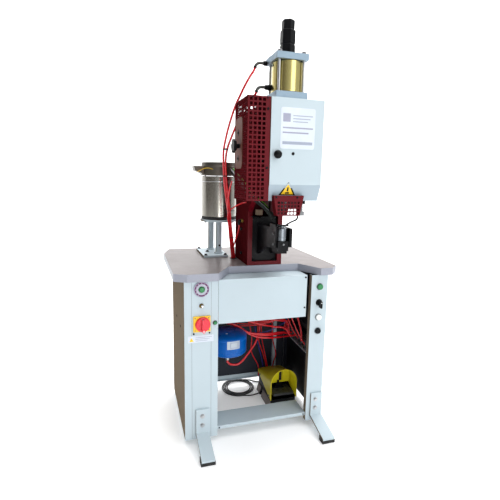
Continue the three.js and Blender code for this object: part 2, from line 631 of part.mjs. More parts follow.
// ---------------------------------------------------------------- foot pedal and its cable
function buildPedal() {
  const { left, right, front, back, wall, atFront, atBack } = pedal;
  const skirtAt = (y) => {
    const run = (y - front) / (back - front);
    return THREE.MathUtils.lerp(atFront.skirt, atBack.skirt, run);
  };

  // The base is a wedge, hollowed out for the treadle, whose sides end just inside the hood's lower edge.
  const nose = front + 6;
  const heel = back - wall - GAP;
  const wedge = sideways([[nose, 0], [heel, 0], [heel, skirtAt(heel) + 3], [nose, skirtAt(nose) + 3]],
    left + wall + GAP, right - wall - GAP);
  const tray = box(left + 12, right - 12, front + 5, back - 14, 9, atBack.hood);
  const lip = box(left + 12, right - 12, nose, nose + 4, 8, 44);
  black('pedal_base', fuse(cut(wedge, tray), lip));

  // The treadle is a slab on a cross pin near the back of the tray, raised at its front edge.
  const treadleGroup = new THREE.Group();
  treadleGroup.position.set((left + right) / 2, back - 30, treadle.pinHeight);
  treadleGroup.rotation.x = THREE.MathUtils.degToRad(-treadle.tilt);
  machine.add(treadleGroup);
  const half = (right - left) / 2 - 14;
  const { halfThickness } = treadle;
  const slab = box(-half, half, -treadle.length, 8, -halfThickness, halfThickness);
  const cleats = [-14, 14].map((x) => box(x - 7, x + 7, -108, -84, halfThickness - 1, halfThickness + 3));
  add('pedal_treadle', fuse(slab, ...cleats), 0x17181a, 0.6, 0, treadleGroup);

  // The hood is an arch, tall at its mouth and low at its closed back, where its lower edge is higher too.
  const centre = (left + right) / 2;
  const radius = (right - left) / 2;
  const shoulder = atFront.hood - radius;
  const arch = (inset) => [
    [centre + radius - inset, atFront.skirt], ...arc(centre, shoulder, radius - inset, 0, 180, 12),
    [centre - radius + inset, atFront.skirt],
  ];
  const shell = frontal([...arch(0), ...arch(wall).reverse()], front, back, 6);
  const rear = frontal(arch(1), back - wall, back, 1);
  const mouthHeight = atFront.hood - atFront.skirt;
  const squeeze = (geometry) => {
    const position = geometry.attributes.position;
    for (let vertex = 0; vertex < position.count; vertex += 1) {
      const y = position.getY(vertex);
      const top = THREE.MathUtils.lerp(atFront.hood, atBack.hood, (y - front) / (back - front));
      const share = (position.getZ(vertex) - atFront.skirt) / mouthHeight;
      position.setZ(vertex, THREE.MathUtils.lerp(skirtAt(y), top, share));
    }
    return geometry;
  };
  add('pedal_hood', fuse(squeeze(shell), squeeze(rear)), 0xc8be1e, 0.45, 0);
}

// The pedal's cable lies on the floor: out of the pedal, round a loose coil, then up into the duct.
function buildPedalCable() {
  const { radius, coilX, coilY, coilInner, coilOuter, coilTop } = cable;
  const lying = radius + 2 * GAP;
  const besideCoil = coilY - coilOuter - radius - 0.5;
  rubber('pedal_cable_lead', tube([
    [pedal.left + pedal.wall, 84, 12], [104, 84, 12], [88, 84, 10], [74, 86, 6], [60, 88, lying], [42, 90, lying],
    [coilX + 10, besideCoil, lying], [coilX - 4, besideCoil, lying],
  ], radius, 8, 16));
  rubber('pedal_cable_coil', turned([
    [coilInner, GAP], [coilOuter, GAP], [coilOuter, coilTop], [coilInner, coilTop], [coilInner, GAP],
  ], coilX, coilY, 32));
  const over = coilTop + lying;
  const inside = coilInner - radius - 2 * GAP;
  const climb = [[150, lying], [130, lying + 2], [112, over - 1], [94, over]].map(([degrees, z]) => {
    const angle = THREE.MathUtils.degToRad(degrees);
    return [coilX + inside * Math.cos(angle), coilY + inside * Math.sin(angle), z];
  });
  rubber('pedal_cable_tail', tube([
    ...climb, [coilX + 20, coilY + 60, over], [coilX + 42, coilY + 56, over], [coilX + 62, coilY + 50, over],
    [coilX + 80, coilY + 43, over - 1], [coilX + 98, coilY + 36, lying + 2], [coilX + 128, coilY + 24, lying],
    [180, 197, lying], [205, 187, lying], [222, 183, 8], [230, 186, 22], [231, 189, 42], [231, 189, 59],
  ], radius, 8, 34));
}

// ---------------------------------------------------------------- assembly
buildTable();
buildColumns();
buildPanels();
for (const end of ['front', 'back']) {
  for (const side of ['left', 'right']) {
    buildFoot(side, end);
  }
}
buildFrame();
buildLowerArm();
buildRam();
buildCover();
buildCage();
buildCylinder();
buildElbow('elbow_upper', elbows.upper);
buildElbow('elbow_lower', elbows.lower, lowerBoss());
buildFeeder();
buildAir();
buildHoses();
buildControls();
buildPedal();
buildPedalCable();

// The origin is on the floor, midway between the cover knob in front and the table's back edge.
machine.position.y = -(cover.front - knobReach + tableBack) / 2;

export default machine;
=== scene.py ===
import math
import random

import bmesh
import bpy
from mathutils import Matrix, Vector


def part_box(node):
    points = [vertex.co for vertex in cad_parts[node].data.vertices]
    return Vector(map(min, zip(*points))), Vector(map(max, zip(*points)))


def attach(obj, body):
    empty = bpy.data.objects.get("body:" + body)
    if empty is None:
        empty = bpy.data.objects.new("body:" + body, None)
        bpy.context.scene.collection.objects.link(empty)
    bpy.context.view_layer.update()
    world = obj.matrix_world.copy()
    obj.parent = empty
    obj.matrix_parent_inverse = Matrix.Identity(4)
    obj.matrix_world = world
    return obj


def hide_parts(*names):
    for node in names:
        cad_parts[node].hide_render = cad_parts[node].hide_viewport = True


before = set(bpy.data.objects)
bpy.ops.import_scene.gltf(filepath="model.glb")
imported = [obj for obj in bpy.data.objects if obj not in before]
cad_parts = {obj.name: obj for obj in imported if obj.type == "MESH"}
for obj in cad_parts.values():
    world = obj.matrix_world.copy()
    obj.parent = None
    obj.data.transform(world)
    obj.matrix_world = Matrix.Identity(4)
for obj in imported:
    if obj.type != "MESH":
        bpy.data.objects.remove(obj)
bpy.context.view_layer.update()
scene = bpy.context.scene
MM = 0.001


# ---------------------------------------------------------------- camera
CAMERA_PLACE = Vector((-0.5127, -1.6925, 1.1184))
CAMERA_YAW = math.radians(16.892)        # to the right of straight back
CAMERA_PITCH = math.radians(10.048)      # below the horizon
CAMERA_ROLL = math.radians(-1.196)
CAMERA_LENS = 28.42                      # on a 36 mm sensor


def make_camera():
    data = bpy.data.cameras.new("camera")
    data.sensor_width = 36
    data.lens = CAMERA_LENS
    camera = bpy.data.objects.new("camera", data)
    scene.collection.objects.link(camera)
    forward = Vector((
        math.sin(CAMERA_YAW) * math.cos(CAMERA_PITCH),
        math.cos(CAMERA_YAW) * math.cos(CAMERA_PITCH),
        -math.sin(CAMERA_PITCH),
    ))
    level = Vector((math.cos(CAMERA_YAW), -math.sin(CAMERA_YAW), 0))
    down = forward.cross(level)
    right = math.cos(CAMERA_ROLL) * level + math.sin(CAMERA_ROLL) * down
    up = math.sin(CAMERA_ROLL) * level - math.cos(CAMERA_ROLL) * down
    turn = Matrix((right, up, -forward)).transposed().to_4x4()
    camera.matrix_world = Matrix.Translation(CAMERA_PLACE) @ turn
    scene.camera = camera


make_camera()


# ---------------------------------------------------------------- materials
def srgb(red, green, blue):
    def linear(level):
        level /= 255
        return level / 12.92 if level <= 0.04045 else ((level + 0.055) / 1.055) ** 2.4
    return linear(red), linear(green), linear(blue), 1.0


def shade(color, factor):
    return (*[min(1.0, channel * factor) for channel in color[:3]], 1.0)


class Look:
    """A procedural material, built up from a principled shader."""

    def __init__(self, name, roughness, metallic=0.0):
        self.material = bpy.data.materials.new(name)
        self.material.use_nodes = True
        self.tree = self.material.node_tree
        self.shader = self.tree.nodes["Principled BSDF"]
        self.shader.inputs["Metallic"].default_value = metallic
        self.shader.inputs["Roughness"].default_value = roughness
        self.place = self.node("ShaderNodeTexCoord").outputs["Object"]

    def node(self, kind, **settings):
        node = self.tree.nodes.new(kind)
        for name, value in settings.items():
            setattr(node, name, value)
        return node

    def link(self, output, socket):
        self.tree.links.new(output, socket)

    def noise(self, scale, detail=3.0, stretch=(1, 1, 1)):
        mapping = self.node("ShaderNodeMapping")
        mapping.inputs["Scale"].default_value = stretch
        self.link(self.place, mapping.inputs["Vector"])
        noise = self.node("ShaderNodeTexNoise")
        noise.inputs["Scale"].default_value = scale
        noise.inputs["Detail"].default_value = detail
        self.link(mapping.outputs["Vector"], noise.inputs["Vector"])
        return noise.outputs["Fac"]

    def spread(self, value, low, high, new_low=0.0, new_high=1.0):
        ramp = self.node("ShaderNodeMapRange")
        sockets = ("From Min", "From Max", "To Min", "To Max")
        for socket, level in zip(sockets, (low, high, new_low, new_high)):
            ramp.inputs[socket].default_value = level
        self.link(value, ramp.inputs["Value"])
        return ramp.outputs["Result"]

    def mix(self, factor, first, second):
        mix = self.node("ShaderNodeMix", data_type="RGBA")
        self.link(factor, mix.inputs["Factor"])
        for socket, value in ((mix.inputs[6], first), (mix.inputs[7], second)):
            if isinstance(value, tuple):
                socket.default_value = value
            else:
                self.link(value, socket)
        return mix.outputs[2]

    def normal(self, axis):
        """How much the surface faces along one axis, from -1 to 1."""
        split = self.node("ShaderNodeSeparateXYZ")
        self.link(self.node("ShaderNodeNewGeometry").outputs["Normal"], split.inputs["Vector"])
        return split.outputs[axis]

    def bump(self, height, strength, depth):
        bump = self.node("ShaderNodeBump")
        bump.inputs["Strength"].default_value = strength
        bump.inputs["Distance"].default_value = depth
        self.link(height, bump.inputs["Height"])
        self.link(bump.outputs["Normal"], self.shader.inputs["Normal"])


# how far a face must look to -X before the painted left shade takes over
LEFT_SHADE_FACING = (-0.8, -0.96)


def painted(name, color, roughness, peel, tone, gloss=0.5, metallic=0.0, painted_left_shade=None):
    """Sprayed or powder-coated metal: orange peel, faint mottling and smears.

    Faces that look to -X take a darker, warmer colour and lose their gloss: painted shade on the left
    sides, with no reflection there.
    """
    look = Look(name, roughness, metallic)
    tones = look.spread(look.noise(5, 4), 0.3, 0.7)
    paint = look.mix(tones, shade(color, 1 - tone), shade(color, 1 + tone))
    look.shader.inputs["Specular IOR Level"].default_value = gloss
    # painted shade: faces that look to -X get a darker, warmer colour and lose their reflection
    if painted_left_shade:
        paint = look.mix(look.spread(look.normal("X"), *LEFT_SHADE_FACING), paint, painted_left_shade)
        left_shade_gloss = look.spread(look.normal("X"), *LEFT_SHADE_FACING, gloss, 0)
        look.link(left_shade_gloss, look.shader.inputs["Specular IOR Level"])
    look.link(paint, look.shader.inputs["Base Color"])
    smears = look.noise(14, 6)
    look.link(look.spread(smears, 0.3, 0.7, roughness * 0.8, min(1, roughness * 1.25)),
              look.shader.inputs["Roughness"])
    look.bump(look.noise(650, 2), peel, 0.0002)
    return look.material


def brushed(name, color, roughness, along=(1, 1, 1), tone=0.12, depth=0.25):
    """Machined or brushed metal, its fine lines stretched one way and faint stains over it."""
    look = Look(name, roughness, 1.0)
    lines = look.noise(420, 3, along)
    stains = look.spread(look.noise(9, 5), 0.3, 0.7)
    base = look.mix(stains, shade(color, 1 - tone), shade(color, 1 + tone * 0.5))
    fine = look.spread(lines, 0.35, 0.65)
    look.link(look.mix(fine, base, shade(color, 0.92)), look.shader.inputs["Base Color"])
    look.link(look.spread(lines, 0.3, 0.7, roughness * 0.75, roughness * 1.4),
              look.shader.inputs["Roughness"])
    look.bump(lines, depth, 0.0001)
    return look.material


def moulded(name, color, roughness, grain=0.35, gloss=0.5, scale=900):
    """Moulded plastic or rubber, with a fine matt grain and slight dust."""
    look = Look(name, roughness)
    dust = look.spread(look.noise(22, 6), 0.5, 0.8, 0.0, 0.25)
    look.link(look.mix(dust, color, shade(color, 1.5)), look.shader.inputs["Base Color"])
    look.link(look.spread(look.noise(40, 4), 0.3, 0.7, roughness * 0.85, min(1, roughness * 1.2)),
              look.shader.inputs["Roughness"])
    look.bump(look.noise(scale, 2), grain, 0.0002)
    look.shader.inputs["Specular IOR Level"].default_value = gloss
    return look.material


def laminate():
    """Speckled grey-brown laminate on top, a paler bluish band round the edge."""
    look = Look("laminate", 0.3)
    specks = look.spread(look.noise(700, 2), 0.35, 0.65)
    clouds = look.spread(look.noise(4, 4), 0.3, 0.7)
    top = look.mix(specks, srgb(108, 99, 98), srgb(118, 109, 108))
    top = look.mix(look.spread(clouds, 0, 1, 0, 0.25), top, srgb(122, 114, 114))
    band = look.mix(specks, srgb(150, 153, 165), srgb(157, 160, 172))
    upward = look.spread(look.normal("Z"), 0.85, 0.97)
    look.link(look.mix(upward, band, top), look.shader.inputs["Base Color"])
    look.link(look.spread(look.noise(18, 5), 0.3, 0.7, 0.32, 0.38), look.shader.inputs["Roughness"])
    look.shader.inputs["Specular IOR Level"].default_value = 0.22
    look.bump(specks, 0.08, 0.0001)
    return look.material


# colour, roughness, orange peel, mottling, gloss, metal, painted shade colour of faces that look left
PAINTS = {
    # white_paint and red_paint end with the painted shade colour of their sides that look left
    "white_paint": ((184, 198, 205), 0.4, 0.3, 0.02, 0.25, 0, srgb(124, 112, 97)),
    # the next colour is painted shade for the cover's slanted lower band
    "white_band": ((158, 174, 185), 0.4, 0.3, 0.02),
    "dark_panel": ((30, 34, 44), 0.5, 0.3, 0.1, 0.3),
    # the next colour is painted shade: a near-black sheet inside the right column's wall
    "lining": ((18, 18, 22), 0.6, 0.3, 0.1, 0.2),
    # red_paint ends with the painted shade colour of its sides that look left
    "red_paint": ((92, 8, 20), 0.34, 0.3, 0.1, 0.12, 0, srgb(74, 18, 22)),
    # the next colour is a plate's red darkened as painted shade behind the guard
    "shroud_red": ((58, 8, 14), 0.5, 0.3, 0.1, 0.15),
    "strip_brown": ((98, 58, 48), 0.5, 0.4, 0.15, 0.08),
    "black_metal": ((14, 14, 17), 0.4, 0.5, 0.15, 0.12),
    "tank_blue": ((0, 88, 172), 0.28, 0.2, 0.08, 0.3),
    "pedal_yellow": ((206, 186, 30), 0.4, 0.45, 0.12, 0.3),
    "pedal_inside": ((240, 228, 40), 0.5, 0.3, 0.06, 0.2),
    "skirt_brown": ((120, 108, 102), 0.6, 0.4, 0.1),
    "skirt_dark": ((52, 46, 44), 0.6, 0.4, 0.1, 0.2),
    "track_metal": ((34, 38, 36), 0.4, 0.3, 0.15, 0.2, 0.3),
    "track_green": ((96, 176, 40), 0.35, 0.2, 0.1),
    "duct_grey": ((188, 194, 198), 0.5, 0.2, 0.04),
    "valve_grey": ((74, 72, 72), 0.45, 0.3, 0.15, 0.3),
}
# colour, roughness, direction of the lines, stains, depth of the lines
METALS = {
    "steel": ((196, 197, 199), 0.28, (1, 1, 8)),
    "steel_dark": ((120, 122, 124), 0.35, (1, 1, 6), 0.2),
    "drum_steel": ((172, 168, 160), 0.2, (0.4, 0.4, 9), 0.1, 0.15),
    "bowl_steel": ((112, 107, 99), 0.36, (0.5, 0.5, 7), 0.2),
    "elbow_steel": ((92, 92, 90), 0.34, (1, 1, 6), 0.2),
    "die_steel": ((128, 134, 140), 0.3, (1, 1, 8)),
    "die_dark": ((58, 50, 52), 0.4, (1, 1, 8)),
    "plate_metal": ((176, 184, 192), 0.4, (6, 6, 1)),
    "aluminium": ((136, 154, 168), 0.46, (6, 1, 1), 0.06),
    "brass": ((204, 190, 124), 0.2, (1, 1, 9), 0.12, 0.12),
    "brass_fitting": ((176, 146, 76), 0.3, (4, 1, 1)),
    "chrome": ((222, 222, 224), 0.12, (1, 1, 1), 0.03, 0.05),
}
# colour, roughness, grain, gloss, fineness of the grain
PLASTICS = {
    "rubber": ((24, 24, 25), 0.7, 0.6),
    "cable_black": ((34, 35, 36), 0.5, 0.3),
    "black_plastic": ((13, 14, 16), 0.36, 0.3, 0.12),
    "treadle_plastic": ((46, 47, 48), 0.42, 0.5, 0.35),
    # near-black; painted shade in the holes and slots it covers, and the real black of the side plugs and
    # the sign's mark
    "dark_hole": ((16, 16, 17), 0.8),
    "hose_red": ((204, 26, 36), 0.22, 0.06, 0.6, 300),
    "hose_blue": ((44, 40, 120), 0.24, 0.08, 0.6, 300),
    "dial_grey": ((176, 178, 192), 0.35),
    "dial_purple": ((92, 28, 88), 0.4),
    "green_plastic": ((22, 120, 62), 0.3, 0.1, 0.6),
    "white_plastic": ((238, 242, 242), 0.3, 0.1, 0.5),
    "yellow_plastic": ((248, 200, 34), 0.32, 0.15),
    "red_plastic": ((222, 30, 54), 0.3, 0.12, 0.6),
    "tan_dark": ((112, 92, 72), 0.6),
    "label": ((204, 212, 224), 0.35, 0.05),
    "label_pale": ((150, 152, 172), 0.4, 0.05),
    "label_print": ((150, 158, 176), 0.4, 0.05),
    "seam": ((120, 128, 134), 0.6),
}
LOOKS = {"laminate": laminate()}
for make, table_of_looks in ((painted, PAINTS), (brushed, METALS), (moulded, PLASTICS)):
    for look_name, (look_color, *settings) in table_of_looks.items():
        LOOKS[look_name] = make(look_name, srgb(*look_color), *settings)


# ---------------------------------------------------------------- building shapes (all in millimetres)
class Span:
    """The box of one CAD node, in millimetres."""

    def __init__(self, node):
        low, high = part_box(node)
        self.x0, self.y0, self.z0 = low / MM
        self.x1, self.y1, self.z1 = high / MM
        self.x, self.y, self.z = (low + high) / 2 / MM


def settle(piece, look, body, stands_for=()):
    scene.collection.objects.link(piece)
    piece.data.materials.append(LOOKS[look])
    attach(piece, body)
    if stands_for:
        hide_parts(*stands_for)
    return piece


def soften(piece, width, segments=2, angle=32):
    bevel = piece.modifiers.new("bevel", "BEVEL")
    bevel.width = width * MM
    bevel.segments = segments
    bevel.limit_method = "ANGLE"
    bevel.angle_limit = math.radians(angle)
    bevel.harden_normals = True


class Shape:
    """Closed shapes gathered into one mesh."""

    AXES = {"X": (1, 2, 0), "Y": (0, 2, 1), "Z": (0, 1, 2)}

    def __init__(self):
        self.mesh = bmesh.new()

    def loops(self, rings, closed=False):
        """Skins rings of points, one after the other, and caps both ends."""
        made = [[self.mesh.verts.new(point) for point in ring] for ring in rings]
        pairs = list(zip(made, made[1:])) + ([(made[-1], made[0])] if closed else [])
        for first, second in pairs:
            for index in range(len(first)):
                after = (index + 1) % len(first)
                self.mesh.faces.new((first[index], first[after], second[after], second[index]))
        if not closed:
            self.mesh.faces.new(reversed(made[0]))
            self.mesh.faces.new(made[-1])
        return self

    def place(self, axis, u, v, w):
        point = [0.0, 0.0, 0.0]
        for index, value in zip(self.AXES[axis], (u, v, w)):
            point[index] = value
        return Vector(point)

    def prism(self, outline, axis, low, high):
        return self.loops([[self.place(axis, u, v, w) for u, v in outline] for w in (low, high)])

    def box(self, x0, x1, y0, y1, z0, z1):
        return self.prism([(x0, y0), (x1, y0), (x1, y1), (x0, y1)], "Z", z0, z1)

    def lathe(self, profile, centre, axis="Z", steps=48, closed=False, wave=0.0, waves=0):
        """Turns a (radius, distance) profile about an axis through centre; waves flute its side."""
        rings = []
        for radius, distance in profile:
            ring = []
            for step in range(steps):
                angle = 2 * math.pi * step / steps
                reach = max(radius, 0.01) * (1 + wave * math.cos(waves * angle))
                flat = self.place(axis, reach * math.cos(angle), reach * math.sin(angle), distance)
                ring.append(Vector(centre) + flat)
            rings.append(ring)
        return self.loops(rings, closed)

    def peg(self, radius, start, end, centre, axis="Z", steps=32):
        return self.lathe([(0, start), (radius, start), (radius, end), (0, end)], centre, axis, steps)

    def ball(self, centre, radius, stretch=(1, 1, 1)):
        turn = Matrix.Translation(centre) @ Matrix.Diagonal((*stretch, 1))
        bmesh.ops.create_uvsphere(self.mesh, u_segments=32, v_segments=20, radius=radius, matrix=turn)
        return self

    def hexagon(self, radius, start, end, centre, axis="Z", chamfer=0.8, first=90):
        """A six-sided head or nut with chamfered ends."""
        sign = 1 if end > start else -1
        levels = [(radius - chamfer, start), (radius, start + sign * chamfer),
                  (radius, end - sign * chamfer), (radius - chamfer, end)]
        rings = []
        for reach, distance in levels:
            angles = [math.radians(first + 60 * side) for side in range(6)]
            rings.append([Vector(centre) + self.place(axis, reach * math.cos(a), reach * math.sin(a),
                    distance) for a in angles])
        return self.loops(rings)

    def screw(self, centre, axis, out, radius, height):
        """A round head with a socket in it; out is the side it faces, 1 or -1."""
        profile = [(0, 0.5), (0.42, 0.5), (0.47, 1), (0.8, 1), (1, 0.75), (1, 0), (0, 0)]
        return self.lathe([(r * radius, out * h * height) for r, h in profile], centre, axis, 24)

    def bolt(self, centre, axis, out, radius, height):
        """A hexagon head on a washer."""
        washer = height * 0.22
        self.lathe([(0, 0), (radius * 1.45, 0), (radius * 1.45, out * washer), (0, out * washer)],
                   centre, axis, 32)
        return self.hexagon(radius, out * washer, out * height, centre, axis, radius * 0.1)

    def done(self, name, look, body="root", stands_for=(), soft=0.0, segments=2, sharp=30):
        bmesh.ops.recalc_face_normals(self.mesh, faces=self.mesh.faces)
        bmesh.ops.scale(self.mesh, vec=(MM, MM, MM), verts=self.mesh.verts)
        for face in self.mesh.faces:
            face.smooth = True
        data = bpy.data.meshes.new(name)
        self.mesh.to_mesh(data)
        self.mesh.free()
        piece = settle(bpy.data.objects.new(name, data), look, body, stands_for)
        if soft:
            soften(piece, soft, segments)
        else:
            data.set_sharp_from_angle(angle=math.radians(sharp))
        return piece


def arc(u, v, radius, start, end, steps):
    turns = [math.radians(start + (end - start) * step / steps) for step in range(steps + 1)]
    return [(u + radius * math.cos(turn), v + radius * math.sin(turn)) for turn in turns]


def rounded(u0, u1, v0, v1, radius, steps=5):
    return (arc(u1 - radius, v1 - radius, radius, 0, 90, steps)
            + arc(u0 + radius, v1 - radius, radius, 90, 180, steps)
            + arc(u0 + radius, v0 + radius, radius, 180, 270, steps)
            + arc(u1 - radius, v0 + radius, radius, 270, 360, steps))


def folded_sheet(name, folds, levels, point, open_spans, look, body, stands_for=(), thickness=2.0):
    """A sheet over the lines folds x levels, with an opening wherever a u span meets a v span."""
    u_spans, v_spans = open_spans
    us = sorted({*folds, *[end for span in u_spans for end in span]})
    vs = sorted({*levels, *[end for span in v_spans for end in span]})
    mesh = bmesh.new()
    corners = [[mesh.verts.new(Vector(point(u, v)) * MM) for v in vs] for u in us]

    def inside(low, high, spans):
        return any(start < (low + high) / 2 < end for start, end in spans)

    for i in range(len(us) - 1):
        for j in range(len(vs) - 1):
            if inside(us[i], us[i + 1], u_spans) and inside(vs[j], vs[j + 1], v_spans):
                continue
            mesh.faces.new((corners[i][j], corners[i + 1][j], corners[i + 1][j + 1], corners[i][j + 1]))
    data = bpy.data.meshes.new(name)
    mesh.to_mesh(data)
    mesh.free()
    piece = settle(bpy.data.objects.new(name, data), look, body, stands_for)
    solidify = piece.modifiers.new("solidify", "SOLIDIFY")
    solidify.thickness = thickness * MM
    solidify.offset = -1
    soften(piece, 0.35, 1)
    return piece


def row_of_spans(first, pitch, size, count):
    return [(first + pitch * index - size / 2, first + pitch * index + size / 2) for index in range(count)]


def smooth_path(points, steps=8):
    """A centripetal Catmull-Rom curve through the points."""
    points = [Vector(point) for point in points]
    padded = [2 * points[0] - points[1], *points, 2 * points[-1] - points[-2]]
    path = []
    for a, b, c, d in zip(padded, padded[1:], padded[2:], padded[3:]):
        t1 = math.sqrt((b - a).length)
        t2 = t1 + math.sqrt((c - b).length)
        t3 = t2 + math.sqrt((d - c).length)
        for step in range(steps):
            t = t1 + (t2 - t1) * step / steps
            ab = a.lerp(b, t / t1)
            bc = b.lerp(c, (t - t1) / (t2 - t1))
            cd = c.lerp(d, (t - t2) / (t3 - t2))
            abc = ab.lerp(bc, t / t2)
            bcd = bc.lerp(cd, (t - t1) / (t3 - t1))
            path.append(abc.lerp(bcd, (t - t1) / (t2 - t1)))
    path.append(points[-1])
    return path


def hoses(name, paths, radius, look, body="root", stands_for=()):
    """Round hoses that follow the paths, as one piece."""
    data = bpy.data.curves.new(name, "CURVE")
    data.dimensions = "3D"
    data.bevel_depth = radius * MM
    data.bevel_resolution = 4
    data.use_fill_caps = True
    for path in paths:
        spline = data.splines.new("POLY")
        spline.points.add(len(path) - 1)
        for point, target in zip(spline.points, path):
            point.co = (*(Vector(target) * MM), 1)
        spline.use_smooth = True
    return settle(bpy.data.objects.new(name, data), look, body, stands_for)


def polish(node, look, width=0.8, segments=2):
    """Keeps a CAD node's own mesh, softens its edges and gives it a real surface."""
    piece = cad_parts[node]
    data = piece.data
    data.materials.clear()
    data.materials.append(LOOKS[look])
    data.polygons.foreach_set("use_smooth", [True] * len(data.polygons))
    weld = piece.modifiers.new("weld", "WELD")
    weld.merge_threshold = 0.01 * MM
    soften(piece, width, segments, 18)
    weighted = piece.modifiers.new("weighted", "WEIGHTED_NORMAL")
    weighted.weight = 80


# ---------------------------------------------------------------- the pedal's cable
CABLE = 3.5
hood = Span("pedal_hood")
coil = Span("pedal_cable_coil")
LYING = CABLE + 0.6
OVER_THE_COIL = coil.z1 + LYING


def cable_route():
    """Out of the pedal, three loose turns inwards, over the coil and up into the duct."""
    gland = hood.y0 + 139
    start = hood.x0 + 4
    outer = 90
    inner = 61
    lead = [(0, 0, 12), (19, 0, 12), (31, 0, 10), (45, 2, 6), (59, 3, LYING), (77, 6, LYING)]
    route = [(start - out, gland + aside, height) for out, aside, height in lead]
    steps = 28
    count = 3 * steps + 9
    for step in range(count):
        angle = math.radians(-90 - 360 * step / steps)
        radius = outer + (inner - outer) * step / (count - 1)
        wobble = 1 + 0.015 * math.sin(2.3 * angle)
        route.append((coil.x + wobble * radius * math.cos(angle), coil.y + radius * math.sin(angle), LYING))
    for degrees, height in ((146, LYING), (130, LYING + 2), (112, OVER_THE_COIL - 1), (94, OVER_THE_COIL)):
        angle = math.radians(degrees)
        route.append((coil.x + inner * math.cos(angle), coil.y + inner * math.sin(angle), height))
    away = [(20, 60, OVER_THE_COIL), (42, 56, OVER_THE_COIL), (62, 50, OVER_THE_COIL),
            (80, 43, OVER_THE_COIL - 1), (98, 36, LYING + 2), (128, 24, LYING), (160, 11, LYING),
            (185, 1, LYING), (202, -3, 8), (210, 0, 22), (211, 3, 42), (211, 3, 59)]
    return route + [(coil.x + u, coil.y + v, z) for u, v, z in away]


cable_path = smooth_path(cable_route(), 5)
pedal_cable = hoses("pedal_cable", [cable_path], CABLE, "cable_black",
                    stands_for=("pedal_cable_lead", "pedal_cable_coil", "pedal_cable_tail"))


# ---------------------------------------------------------------- table and cabinet
POLISHED = {
    "laminate": ("table_top",),
    "white_paint": ("left_column", "right_column", "front_panel", "front_rail", "foot_front_left",
                    "foot_front_right", "foot_back_left", "foot_back_right", "head_cover"),
    "dark_panel": ("back_panel",),
    "rubber": ("pad_front_left", "pad_front_right", "pad_back_left", "pad_back_right"),
    "red_paint": ("press_frame",),
    "black_metal": ("lower_arm", "anvil_holder"),
    "steel": ("ram_guide",),
    "aluminium": ("cylinder_lower_cap", "cylinder_upper_cap"),
    "yellow_plastic": ("switch_plate",),
    "black_plastic": ("pedal_base",),
    "track_metal": ("feed_track",),
}
EDGES = {"table_top": 2.0, "press_frame": 2.5, "head_cover": 0.9, "lower_arm": 1.2, "switch_plate": 1.5,
         "pedal_base": 1.4, "feed_track": 1.0}


def finish_cad_nodes():
    for look, nodes in POLISHED.items():
        for node in nodes:
            polish(node, look, EDGES.get(node, 0.8), 3 if node in EDGES else 2)


table = Span("table_top")
left = Span("left_column")
right = Span("right_column")
panel = Span("front_panel")
rail = Span("front_rail")
rear = Span("back_panel")


HOSE_HOLE = (-52, 98)
FOOT_BOLTS = (91, 133)                   # heights
FOOT_MIDDLE = {"left": -249.5, "right": 273.5}
SIDE_PLUGS = ((217, 491), (89, 488), (-58, 492))
CARD_LOW, CARD_HIGH = 461, 490


def table_details():
    lining = Shape().lathe([(13.5, table.z1 - 1), (17.5, table.z1 + 0.2), (17.5, table.z1 + 1.8),
                            (14.5, table.z1 + 2.4), (13.2, table.z1 + 1.2), (13.2, table.z1 - 30),
                            (14.2, table.z1 - 30)], (*HOSE_HOLE, 0), "Z", 40, closed=True)
    lining.done("hose_hole_lining", "black_plastic", sharp=40)


def cabinet_details():
    seams = Shape()
    for x in (left.x0 + 30, left.x1 - 29):
        seams.box(x - 0.6, x + 0.6, left.y0 - 0.35, left.y0 + 0.5, left.z0 + 4, left.z1 - 4)
    seams.done("column_seams", "seam", soft=0.1, segments=1)

    screws = Shape()
    for x, z, radius in ((-284, 499, 3.6), (-219, 499, 3.2)):
        screws.screw((x, left.y0, z), "Y", -1, radius, 3.5)
    for z in (panel.z0 + 43, panel.z1 - 9):
        screws.screw((panel.x1 - 8, panel.y0, z), "Y", -1, 4, 3)
    for x in (rail.x0 + 9, rail.x1 - 9):
        screws.screw((x, rail.y0, rail.z1 - 8), "Y", -1, 3.2, 2.5)
    screws.done("cabinet_screws", "black_metal")

    plugs = Shape()
    for y, z in SIDE_PLUGS:
        for x, out in ((left.x0, -1), (right.x1, 1)):
            plugs.lathe([(0, -out * 0.4), (3.2, -out * 0.2), (3.9, out * 1.0), (5.6, out * 1.2), (6.2, 0),
                         (0, 0)], (x, y, z), "X", 28)
    plugs.done("side_plugs", "dark_hole")


# The painted shade inside the right column, a strip in the back corner and the lip of the back panel.
def inner_shade_sheet_and_trim():
    # a near-black sheet on the right column's inner wall: painted shade, where the cabinet is dark inside
    lining = Shape().box(right.x1 - 2.9, right.x1 - 2.05, right.y0 + 4, right.y1 - 20, right.z0 + 3,
                         right.z1 - 1)
    lining.done("right_wall_painted_shade", "lining")
    corner = Shape().box(281, 284, rear.y0 - 5, rear.y0 - 0.4, rear.z0 + 10, right.z1 - 1)
    corner.done("back_corner_strip", "steel_dark", soft=0.4)

    lip = Shape().prism([(rear.y0 - 0.4, rear.z0), (rear.y0 - 16, rear.z0), (rear.y0 - 16, rear.z0 + 2),
                         (rear.y0 - 2.4, rear.z0 + 2), (rear.y0 - 2.4, rear.z0 + 22),
                         (rear.y0 - 0.4, rear.z0 + 22)], "X", rear.x0 + 2, rear.x1 - 2)
    lip.done("back_lip", "white_paint", soft=0.4)


def foot_bolts():
    for side, centre in FOOT_MIDDLE.items():
        for end, out in (("front", -1), ("back", 1)):
            outer = left.y0 - 8.3 if out < 0 else left.y1 + 8.3
            bolts = Shape()
            for z in FOOT_BOLTS:
                bolts.bolt((centre, outer, z), "Y", out, 7, 6.5)
            bolts.done(f"foot_bolts_{end}_{side}", "steel", sharp=25)


